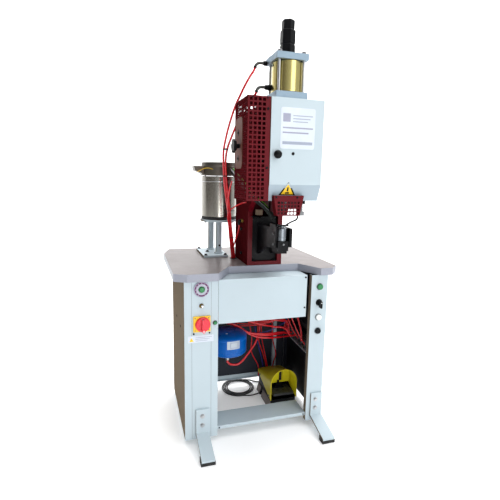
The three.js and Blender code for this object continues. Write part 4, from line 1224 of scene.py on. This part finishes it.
def valve_details():
    shelf = Shape().box(manifold.x0, manifold.x1, manifold.y0, manifold.y1, manifold.z0, manifold.z0 + 3)
    shelf.done("valve_shelf", "duct_grey", stands_for=("valve_manifold",), soft=0.5)
    riser = Shape().box(manifold.x1 - 3, manifold.x1, manifold.y0, manifold.y1, manifold.z0 + 3.1,
                        manifold.z1)
    riser.done("valve_back_plate", "skirt_dark", soft=0.5)
    valves = Shape()
    coils = Shape()
    fittings = Shape()
    front_x = manifold.x0 + 8
    for index in range(VALVES):
        low_y = manifold.y0 + 6 + VALVE_PITCH * index
        valves.box(front_x, front_x + 26, low_y, low_y + 28, manifold.z0 + 3, manifold.z0 + 52)
        valves.box(front_x + 3, front_x + 24, low_y + 3, low_y + 25, manifold.z0 + 55, manifold.z0 + 60)
        coils.prism(rounded(front_x + 2, front_x + 26, low_y + 2, low_y + 26, 3), "Z", manifold.z0 + 60,
                    manifold.z0 + 82)
        coils.box(front_x + 1, front_x + 27, low_y + 1, low_y + 27, manifold.z0 + 51.8, manifold.z0 + 55.2)
        for z in (manifold.z0 + 24, manifold.z0 + 44):
            fittings.lathe([(0, front_x), (5.4, front_x), (5.4, front_x - 7), (6, front_x - 7),
                            (6, front_x - 13), (4.6, front_x - 14), (0, front_x - 14)], (0, low_y + 14, z),
                           "X", 28)
    valves.done("valve_bodies", "valve_grey", soft=0.6)
    coils.done("valve_coils", "black_plastic", soft=1.0)
    fittings.done("valve_fittings", "steel_dark", sharp=28)


def duct_details():
    x0, x1, y0, y1, z0, z1 = DUCT
    duct = Shape().box(*DUCT)
    for index in range(30):
        low = z0 + 8 + 16 * index
        duct.box(x0 - 0.6, x0 + 0.4, y0 + 3, y1 - 3, low, low + 6)
        duct.box(x0 + 2, x1 - 2, y0 - 0.6, y0 + 0.4, low, low + 6)
    duct.done("cable_duct", "duct_grey", soft=0.5, segments=1)


def curved_label(name, x, y, radius, first, last, low, high, look):
    """A thin plate wrapped round the front of a vessel, between two angles."""
    outer = arc(x, y, radius, first, last, 16)
    inner = arc(x, y, radius - 0.7, last, first, 16)
    Shape().prism(outer + inner, "Z", low, high).done(name, look, sharp=40)


HOSE, BRANCH = 4.3, 3                    # radii
FRAME_FITTING = (3, 938)                 # y and z
TIES = ((6, 5), (8, 7), (11, 10), (13, 12))
# The cylinder's two hoses, from their elbows down to the hole in the table.
UPPER_HOSE = [(-78, -219, 1494), (-86.5, -212.5, 1478), (-94, -204, 1462), (-104, -191, 1437),
              (-120, -168, 1394), (-136, -126, 1319), (-144, -83, 1240), (-140.5, -61, 1197),
              (-132.5, -39, 1134), (-121.5, -18, 1074), (-110, 4, 1030), (-98, 26, 982), (-88, 48, 925),
              (-74.5, 69, 855), (-62.5, 89, 796), (-56, 96, 752)]
LOWER_HOSE = [(-75, -231, 1418), (-82, -215, 1413), (-88, -195, 1406), (-97, -175, 1368),
              (-118, -132, 1300), (-131, -89, 1240), (-131.5, -65, 1197), (-124, -43, 1134),
              (-113, -21, 1074), (-101.5, 0, 1030), (-89.5, 22, 982), (-79.5, 44, 925), (-66, 65, 855),
              (-54, 85, 796), (-47, 94, 752)]


def hose_details():
    for name, places, end in (("upper", UPPER_HOSE, (-56, 98, 560)), ("lower", LOWER_HOSE, (-47, 98, 560))):
        arm, away = elbow_line(name)
        start = [arm[-1] - away, arm[-1] + away * 8]
        hoses(f"cylinder_hose_{name}", [smooth_path(start + places + [end])], HOSE, "hose_red",
              stands_for=(f"air_hose_{name}",))


def hose_ties():
    """Cable ties round both hoses; each pair in TIES is a point of the upper and one of the lower hose."""
    ties = Shape()
    for a, b in TIES:
        middle = (Vector(UPPER_HOSE[a]) + Vector(LOWER_HOSE[b])) / 2
        along = (Vector(UPPER_HOSE[a + 1]) - Vector(UPPER_HOSE[a])).normalized()
        across = (Vector(LOWER_HOSE[b]) - Vector(UPPER_HOSE[a]))
        width = across.length / 2
        across.normalize()
        outward = along.cross(across)
        rings = []
        for shift, grow in ((-1.8, 0), (-1.4, 0.5), (1.4, 0.5), (1.8, 0)):
            ring = []
            for step in range(28):
                turn = 2 * math.pi * step / 28
                u = math.cos(turn) * (5 + grow) + math.copysign(width, math.cos(turn))
                v = math.sin(turn) * (5 + grow)
                ring.append(middle + along * shift + across * u + outward * v)
            rings.append(ring)
        ties.loops(rings)
        tail = middle + across * (width + 6)
        corners = ((-1, -0.5), (1, -0.5), (1, 0.5), (-1, 0.5))
        ties.loops([[tail + along * u + outward * v + across * w for u, v in corners] for w in (0, 15)])
    ties.done("hose_ties", "black_plastic", sharp=40)


def frame_hoses():
    """A fitting on the frame's left side and the thinner hoses that join the two big ones."""
    side = press.x0
    y, z = FRAME_FITTING
    fitting = Shape().hexagon(8, side, side - 9, (0, y, z), "X", 0.9)
    fitting.done("frame_fitting_thread", "brass_fitting", sharp=25)
    elbow = Shape().peg(6, side - 8.6, side - 18, (0, y, z), "X")
    elbow.ball((side - 18, y, z), 6.1)
    elbow.lathe([(0, 0), (6, 0), (6, -14), (5.2, -14.5), (5.2, -18), (0, -18)], (side - 18, y, z), "Z", 32)
    elbow.done("frame_fitting_elbow", "black_plastic", sharp=32)
    branch = [(side - 18, y, z - 16), (side - 19, 6, 900), (side - 22, 24, 868), (side - 26, 50, 830),
              (-60, 74, 796), (-56, 88, 762), (-52, 94, 740), (-52, 96, 700)]
    cage_branch = [(-137, -196, 1112), (-137.5, -160, 1075), (-137, -138, 1039), (-132, -112, 1012),
                   (-124, -84, 990), (-116, -50, 975), (-108, -16, 950), (-96, 14, 915), (-86, 40, 870),
                   (-72, 70, 812), (-62, 88, 755), (-60, 92, 700)]
    inner_branch = [(-38, -60, 1024), (-48, -40, 1020), (-70, -12, 1006), (-90, 8, 986), (-94, 26, 960),
                    (-84, 48, 918), (-68, 70, 850), (-56, 88, 796), (-50, 100, 752), (-50, 103, 700)]
    hoses("branch_hoses", [smooth_path(path) for path in (branch, cage_branch, inner_branch)], BRANCH,
          "hose_red")
    blue = [(-84, 62, 905), (-77, 74, 868), (-68, 90, 808), (-58, 102, 758), (-56, 105, 700)]
    hoses("blue_hose", [smooth_path([(-92, 44, 955), *blue])], BRANCH, "hose_blue")


# Under the table. Each arc runs from the left column to a valve: its places, the valve, the port's row.
ARCS = (
    ((-150, 96, 474), (-113, 80, 448), (-69, 66, 436), (-14, 62, 400), (59, 47, 363), (139, 46, 351), 4, 0),
    ((-150, 60, 494), (-89, 46, 452), (-38, 44, 428), (13, 43, 392), (105, 46, 374), (185, 56, 370), 4, 1),
    ((-150, 80, 484), (-96, 60, 446), (-54, 54, 434), (10, 50, 392), (84, 50, 368), (165, 60, 360), 5, 0),
    ((-150, 70, 504), (-62, 56, 470), (20, 44, 446), (90, 40, 424), (150, 44, 408), (205, 40, 396), 3, 1),
)
TO_THE_FLOOR = (
    ((10, 140, 560), (60, 200, 400), (83, 203, 290), (81, 203, 219), (123, 203, 126), (130, 215, 64)),
    ((80, 140, 560), (112, 200, 380), (123, 203, 272), (150, 203, 190), (167, 203, 128), (176, 215, 64)),
    ((100, 140, 560), (132, 200, 380), (141, 203, 277), (160, 203, 190), (174, 203, 127), (186, 215, 64)),
    ((150, 150, 560), (196, 205, 380), (203, 206, 271), (224, 207, 181), (211, 209, 130), (206, 214, 64)),
)
COLUMN = left.x1 + 1                     # where hoses leave the left column
BLUE_HOSES = (
    ((COLUMN, 100, 540), (-100, 80, 490), (-62, 66, 446), (-20, 72, 410), (45, 63, 378), (111, 63, 378),
     (165, 63, 396), (218, 63, 428), (240, 60, 500), (244, 58, 580)),
    ((40, 140, 560), (90, 200, 400), (110, 204, 290), (136, 204, 190), (152, 204, 120), (160, 214, 64)),
)
TANK_HOSE = [
    (tank.x, tank.y, tank.z0 + 4), (tank.x, tank.y, tank.z0 - 8), (-82, 23, 250), (-65, 25, 243),
    (-39, 28, 241), (-13, 33, 256), (10, 43, 275), (33, 53, 297), (51, 63, 314), (67, 73, 335),
    (78, 83, 351), (88, 96, 390), (92, 110, 460), (80, 120, 560),
]
THICK, THIN, WIRE = 4.6, 2.8, 1.8        # radii
HOSE_SEED = 3


def port(index, row=0):
    """The end of a hose in one valve's lower (0) or upper (1) port."""
    return manifold.x0 - 7, manifold.y0 + 20 + VALVE_PITCH * index, manifold.z0 + 24 + 20 * row


def before_port(index, row=0):
    x, y, z = port(index, row)
    return x - 26, y - 4, z + 3


def from_the_hole(index, wander):
    """A thin hose that drops through the hose hole and runs to one of the last three valves."""
    valve = 3 + index % 3
    return [(-58 + 5 * index, 92 + 5 * index, 720), (-70 + 20 * index, 84 + wander, 600),
            (-30 + 34 * index, 66 + 18 * index, 520), (50 + 30 * index, 50 + 24 * index, 468 + wander),
            (150, 44 + 20 * index, 452), (214, 40 + 14 * index, 430), before_port(valve, 1), port(valve, 1)]


def from_the_column(index):
    """A thin hose that leaves the column high up and rises behind the front panel."""
    return [(COLUMN, 60 + 26 * index, 520 - 8 * index), (-120, 70 + 26 * index, 478 - 10 * index),
            (-20, 96 + 20 * index, 470), (90, 110 + 20 * index, 452 + 12 * index),
            (170, 120 + 16 * index, 520), (190, 130, 640)]


def in_the_bundle(index, chance):
    """A thin hose of the loose bundle that crosses the cabinet below the front panel."""
    level = 408 + 6 * index
    return [(COLUMN, 126 + 12 * index, level + 54), (-120, 124 + 10 * index, level + 30),
            (-50, 118, level + chance.uniform(-2, 8)), (20, 104, level + chance.uniform(-6, 8)),
            (96, 88, level + 2), (170, 90 - 8 * index, level + 16), (204, 80, level + 70)]


def to_a_near_valve(index):
    x, y, z = port(index, 1)
    return [(150, y + 60, 600), (200, y + 30, 480), (232, y + 6, 400), (x, y, z)]


def wire_to_the_duct(index, offset):
    return [(COLUMN, 190 + 8 * index, 600), (-40, 212 + 5 * index, 560 + offset),
            (120, 222 + 4 * index, 566 - offset), (216, 232, 562 - 2 * index), (221, 233, 540)]


def cabinet_hoses():
    """The loose hoses and wires under the table, between hose hole, column, valves, tank and duct."""
    chance = random.Random(HOSE_SEED)
    thick = []
    for *places, index, row in ARCS:
        begin = (COLUMN, places[0][1] + 14, places[0][2] + 16)
        thick.append([begin, *places, before_port(index, row), port(index, row)])
    thick.append([(226, -20, 580), (232, -24, 520), (239, -27, 478), (253, -28, 431), (260, -32, 392),
                  port(1, 1)])
    thick.append([(-20, 96, 560), (60, 84, 470), (130, 70, 440), (200, 62, 428), (240, 60, 424)])
    thin = [from_the_hole(index, chance.uniform(-18, 18)) for index in range(5)]
    thin += [from_the_column(index) for index in range(4)]
    thin += TO_THE_FLOOR
    thin += [in_the_bundle(index, chance) for index in range(6)]
    thin += [to_a_near_valve(index) for index in (0, 2)]
    wires = [wire_to_the_duct(index, chance.uniform(-6, 6)) for index in range(5)]
    for name, routes, radius, look in (("cabinet_hoses_thick", thick, THICK, "hose_red"),
                                       ("cabinet_hoses_thin", thin, THIN, "hose_red"),
                                       ("cabinet_hoses_blue", BLUE_HOSES, THIN, "hose_blue"),
                                       ("cabinet_wires", wires, WIRE, "cable_black"),
                                       ("tank_hose", [TANK_HOSE], 5, "hose_red")):
        hoses(name, [smooth_path(route) for route in routes], radius, look)


# ---------------------------------------------------------------- foot pedal
WALL = 4                                 # the hood's sheet
HOOD_LENGTH = 205
HOOD_RADIUS = (hood.x1 - hood.x0) / 2
HOOD_BACK_LOW, HOOD_BACK_HIGH = 104, 123
PARTITION_LOW = 66                       # the sheet across the hood ends above the treadle
TILT = math.radians(6)                   # of the treadle
PIVOT = Vector((hood.x, hood.y1 - 30, 54))


def arch(inset):
    """The hood's open end, inset from its outside: straight sides under a half round."""
    shoulder = hood.z1 - HOOD_RADIUS
    sides = [hood.z0 + (shoulder - hood.z0) * step / 6 for step in range(6)]
    points = [(hood.x + HOOD_RADIUS - inset, z) for z in sides]
    points += arc(hood.x, shoulder, HOOD_RADIUS - inset, 0, 180, 40)
    return points + [(hood.x - HOOD_RADIUS + inset, z) for z in reversed(sides)]


def squeezed(outline, run):
    """The outline moved towards the hood's back end and flattened on the way."""
    y = hood.y0 + (hood.y1 - hood.y0) * run
    bottom = hood.z0 + (HOOD_BACK_LOW - hood.z0) * run
    top = hood.z1 + (HOOD_BACK_HIGH - hood.z1) * run
    scale = (top - bottom) / (hood.z1 - hood.z0)
    return [Vector((x, y, bottom + (z - hood.z0) * scale)) for x, z in outline]


def hood_details():
    shell = Shape()
    section = arch(0) + list(reversed(arch(WALL - 0.9)))
    shell.loops([squeezed(section, step / 12) for step in range(13)])
    shell.loops([squeezed(arch(0.6), 1 - WALL / HOOD_LENGTH), squeezed(arch(0.6), 1)])
    shell.done("hood_shell", "pedal_yellow", stands_for=("pedal_hood",), soft=1.0, segments=3)
    inside = Shape()
    section = arch(WALL - 0.8) + list(reversed(arch(WALL)))
    inside.loops([squeezed(section, 0.005 + 0.97 * step / 12) for step in range(13)])
    partition = [(x, z) for x, z in arch(WALL + 0.3) if z > PARTITION_LOW]
    inside.loops([squeezed(partition, run) for run in (0.43, 0.445)])
    inside.box(hood.x + 22, hood.x + 29, hood.y0 + 76, hood.y0 + 88, 112, 156)
    inside.done("hood_inside", "pedal_inside")
    slot = Shape().box(hood.x + 6, hood.x + 20, hood.y0 + 86.5, hood.y0 + 89, 100, 158)
    slot.done("hood_slot", "skirt_dark", soft=0.8)


def pedal_base_details():
    base = Span("pedal_base")
    skirt_plate = Shape()
    flare = [(-0.2, 40), (-2.4, 40), (-13, 1.2), (-10, 0.8), (-0.2, 4)]
    for front, behind in ((base.y0 + 2, hood.y0 + 124), (hood.y0 + 154, base.y1 - 2)):
        skirt_plate.prism([(base.x0 + out, z) for out, z in flare], "Y", front, behind)
    skirt_plate.done("pedal_skirt", "skirt_brown", soft=0.6)
    studs = Shape()
    for y, z in ((hood.y0 + 24, 62), (hood.y1 - 40, 104)):
        for x, out in ((hood.x0, -1), (hood.x1, 1)):
            studs.screw((x, y, z), "X", out, 4.6, 3)
    studs.done("pedal_screws", "steel_dark")
    gland = Shape()
    axis = (0, hood.y0 + 139, 12)
    gland.hexagon(10, base.x0, base.x0 - 5, axis, "X", 0.8)
    gland.lathe([(3.6, base.x0 - 4), (8.6, base.x0 - 4), (8.8, base.x0 - 9), (6.4, base.x0 - 15),
                 (3.6, base.x0 - 16)], axis, "X", 40, closed=True)
    gland.done("pedal_gland", "black_plastic", sharp=30)


def on_treadle(x, along, up):
    """A point given by its place on the tilted treadle, along it from the pivot and above it."""
    ahead = Vector((0, -math.cos(TILT), math.sin(TILT)))
    upward = Vector((0, math.sin(TILT), math.cos(TILT)))
    return PIVOT + Vector((x, 0, 0)) + ahead * along + upward * up


def treadle_details():
    half = HOOD_RADIUS - 14.4
    slab = Shape()
    outline = rounded(-half, half, -8, 176, 7)
    levels = [(-5.8, 1.2), (-4.8, 0), (4.6, 0), (5.8, 1.2)]
    rings = []
    for up, inset in levels:
        rings.append([on_treadle(x * (1 - inset / half), along, up) for x, along in outline])
    slab.loops(rings)
    for index in range(9):
        along = 104 + 8 * index
        rib = ((-half + 8, -2), (half - 8, -2), (half - 8, 2), (-half + 8, 2))
        slab.loops([[on_treadle(x, along + w, up) for x, w in rib] for up in (5, 6.6)])
    slab.done("treadle_slab", "treadle_plastic", "treadle", ("pedal_treadle",), soft=0.4, segments=2)
    latch = Shape()
    for up, half_width in ((5, 26), (20, 17), (34, 6)):
        end = 114 - up / 2
        step = ((-half_width, 98), (half_width, 98), (half_width - 1, end), (1 - half_width, end))
        latch.loops([[on_treadle(x, along, height) for x, along in step] for height in (5, up + 8)])
    latch.done("treadle_latch", "black_plastic", "treadle", soft=1.0, segments=2)
    # painted shade: dark insets stand for the holes in the treadle
    holes = Shape()
    for x in (-20, 14):
        holes.loops([[on_treadle(x + u, 136 + v, up) for u, v in rounded(-9, 9, -9, 9, 4)]
                     for up in (5.6, 6.3)])
    holes.done("treadle_holes", "dark_hole", "treadle")


# ---------------------------------------------------------------- small things in the frame's mouth
def dish_and_shroud():
    tray = Shape().lathe([(0, 964), (20, 964), (24.5, 968), (23.2, 968.8), (19, 965.6), (0, 965.6)],
                         (-5, -107, 0), "Z", 48)
    tray.box(-8, -2, -107, -80, 958, 964)
    tray.done("snap_dish", "black_plastic", sharp=30)
    Shape().prism(rounded(-9, 18, -118, -96, 3), "Z", 974, 997).done("track_foot", "tan_dark", soft=1)
    # a plate behind the guard, partly a real shroud and partly painted shade: its dark red stands for the
    # shade under the cover
    shroud = Shape().prism([(8, 1062), (148, 1062), (148, 992), (132, 992), (132, 1008), (88, 1008),
                            (82, 984), (8, 984)], "Y", -232, -220)
    shroud.prism([(8, 1062), (12, 1062), (12, 996), (8, 996)], "Y", -232, -160)
    shroud.done("punch_shroud", "shroud_red", soft=0.8)


def sensor_details():
    switch = Shape().box(101, 122, -306, -288, 988, 1004)
    switch.box(109, 115, -300, -295, 1003, 1036)
    switch.done("sensor_block", "steel_dark", soft=0.8)
    Shape().box(110, 125, -304, -292, 1032, 1046).done("sensor_tip", "black_plastic", soft=1.2)
    rod = [(98, -297, 994), (98, -297, 979), (93, -297, 972), (76, -297, 965), (60, -297, 957),
           (52, -296, 951)]
    hoses("sensor_rod", [smooth_path(rod)], 3.2, "black_metal")
    bar = Shape().box(10, 62, -301, -296, 948, 954)
    bar.box(10, 15.5, -301, -232, 928, 954)
    bar.done("die_guide_bar", "black_metal", soft=0.6)


# ---------------------------------------------------------------- floor and light
FLOOR_GLOW = 0.18
BEND = 1.6                               # metres, where the floor turns up into the wall


def make_stage():
    """A pale floor that turns up into a wall behind."""
    look = Look("floor", 0.85)
    tones = look.spread(look.noise(3, 4), 0.35, 0.65)
    look.link(look.mix(tones, srgb(240, 240, 240), srgb(247, 247, 247)), look.shader.inputs["Base Color"])
    look.bump(look.noise(260, 2), 0.08, 0.0003)
    look.shader.inputs["Emission Color"].default_value = (1, 1, 1, 1)
    look.shader.inputs["Emission Strength"].default_value = FLOOR_GLOW
    LOOKS["floor"] = look.material
    mesh = bmesh.new()
    line = [(y, 0) for y in range(-6, 3)]
    for step in range(1, 10):
        turn = math.radians(10 * step)
        line.append((2 + BEND * math.sin(turn), BEND - BEND * math.cos(turn)))
    line += [(2 + BEND, BEND + 0.9 * step) for step in range(1, 8)]
    rows = [[mesh.verts.new((x, y, z)) for x in (-9, -3, 3, 9)] for y, z in line]
    for first, second in zip(rows, rows[1:]):
        for index in range(3):
            face = mesh.faces.new((first[index], first[index + 1], second[index + 1], second[index]))
            face.smooth = True
    data = bpy.data.meshes.new("floor")
    mesh.to_mesh(data)
    mesh.free()
    floor = bpy.data.objects.new("floor", data)
    scene.collection.objects.link(floor)
    data.materials.append(LOOKS["floor"])


def softbox(name, place, aim, size, power, color):
    data = bpy.data.lights.new(name, "AREA")
    data.shape = "RECTANGLE"
    data.size, data.size_y = size
    data.energy = power
    data.color = color
    lamp = bpy.data.objects.new(name, data)
    lamp.location = place
    lamp.rotation_euler = (Vector(aim) - Vector(place)).to_track_quat("-Z", "Y").to_euler()
    scene.collection.objects.link(lamp)


# place, point it is aimed at, size, power in watts, colour
LIGHTS = {
    "key": ((1.5, -3.4, 2.0), (0, 0, 0.9), (1.8, 1.8), 28, (1, 0.99, 0.98)),
    "low": ((0.1, -3.3, 0.45), (0.05, 0.1, 0.15), (2.4, 0.6), 20, (1, 1, 1)),
    "top": ((0.6, -0.6, 4.2), (0.2, 0, 0.8), (4.0, 4.0), 120, (1, 1, 1)),
    "background": ((1.6, 1.4, 4.4), (1.6, 4, 1.2), (6.0, 1.5), 220, (1, 1, 1)),
}
ROOM_LEFT = (0.26, 0.24, 0.22, 1)
ROOM_REST = (0.95, 0.98, 1, 1)
ROOM_STRENGTH = 0.7


def make_light():
    """A soft room, darker and warmer on the left, with lights in front, overhead and on the wall."""
    world = bpy.data.worlds.new("studio")
    world.use_nodes = True
    tree = world.node_tree
    direction = tree.nodes.new("ShaderNodeTexCoord").outputs["Generated"]
    split = tree.nodes.new("ShaderNodeSeparateXYZ")
    tree.links.new(direction, split.inputs["Vector"])
    blend = tree.nodes.new("ShaderNodeMapRange")
    blend.interpolation_type = "SMOOTHSTEP"
    blend.inputs["From Min"].default_value = -0.9
    blend.inputs["From Max"].default_value = 0.1
    tree.links.new(split.outputs["X"], blend.inputs["Value"])
    mix = tree.nodes.new("ShaderNodeMix")
    mix.data_type = "RGBA"
    tree.links.new(blend.outputs["Result"], mix.inputs["Factor"])
    mix.inputs[6].default_value = ROOM_LEFT
    mix.inputs[7].default_value = ROOM_REST
    tree.links.new(mix.outputs[2], tree.nodes["Background"].inputs["Color"])
    tree.nodes["Background"].inputs["Strength"].default_value = ROOM_STRENGTH
    scene.world = world
    scene.view_settings.view_transform = "Standard"
    for name, settings in LIGHTS.items():
        softbox(name, *settings)


finish_cad_nodes()
table_details()
cabinet_details()
inner_shade_sheet_and_trim()
foot_bolts()
column_label()
timer_details()
toggle_details()
main_switch_details()
button_details()
selector_details()
cover_label_details()
cover_sign_details()
cover_fittings()
hinge_details()
cage_details()
star_knob_details()
guard_details()
die_details()
ram_details()
press_screws()
cylinder_details()
tie_rod_details()
adjuster_details()
elbow_details()
stand_details()
drum_details()
bowl_details()
track_details()
tank_details()
valve_details()
duct_details()
hose_details()
hose_ties()
frame_hoses()
cabinet_hoses()
hood_details()
pedal_base_details()
treadle_details()
dish_and_shroud()
sensor_details()
make_stage()
make_light()
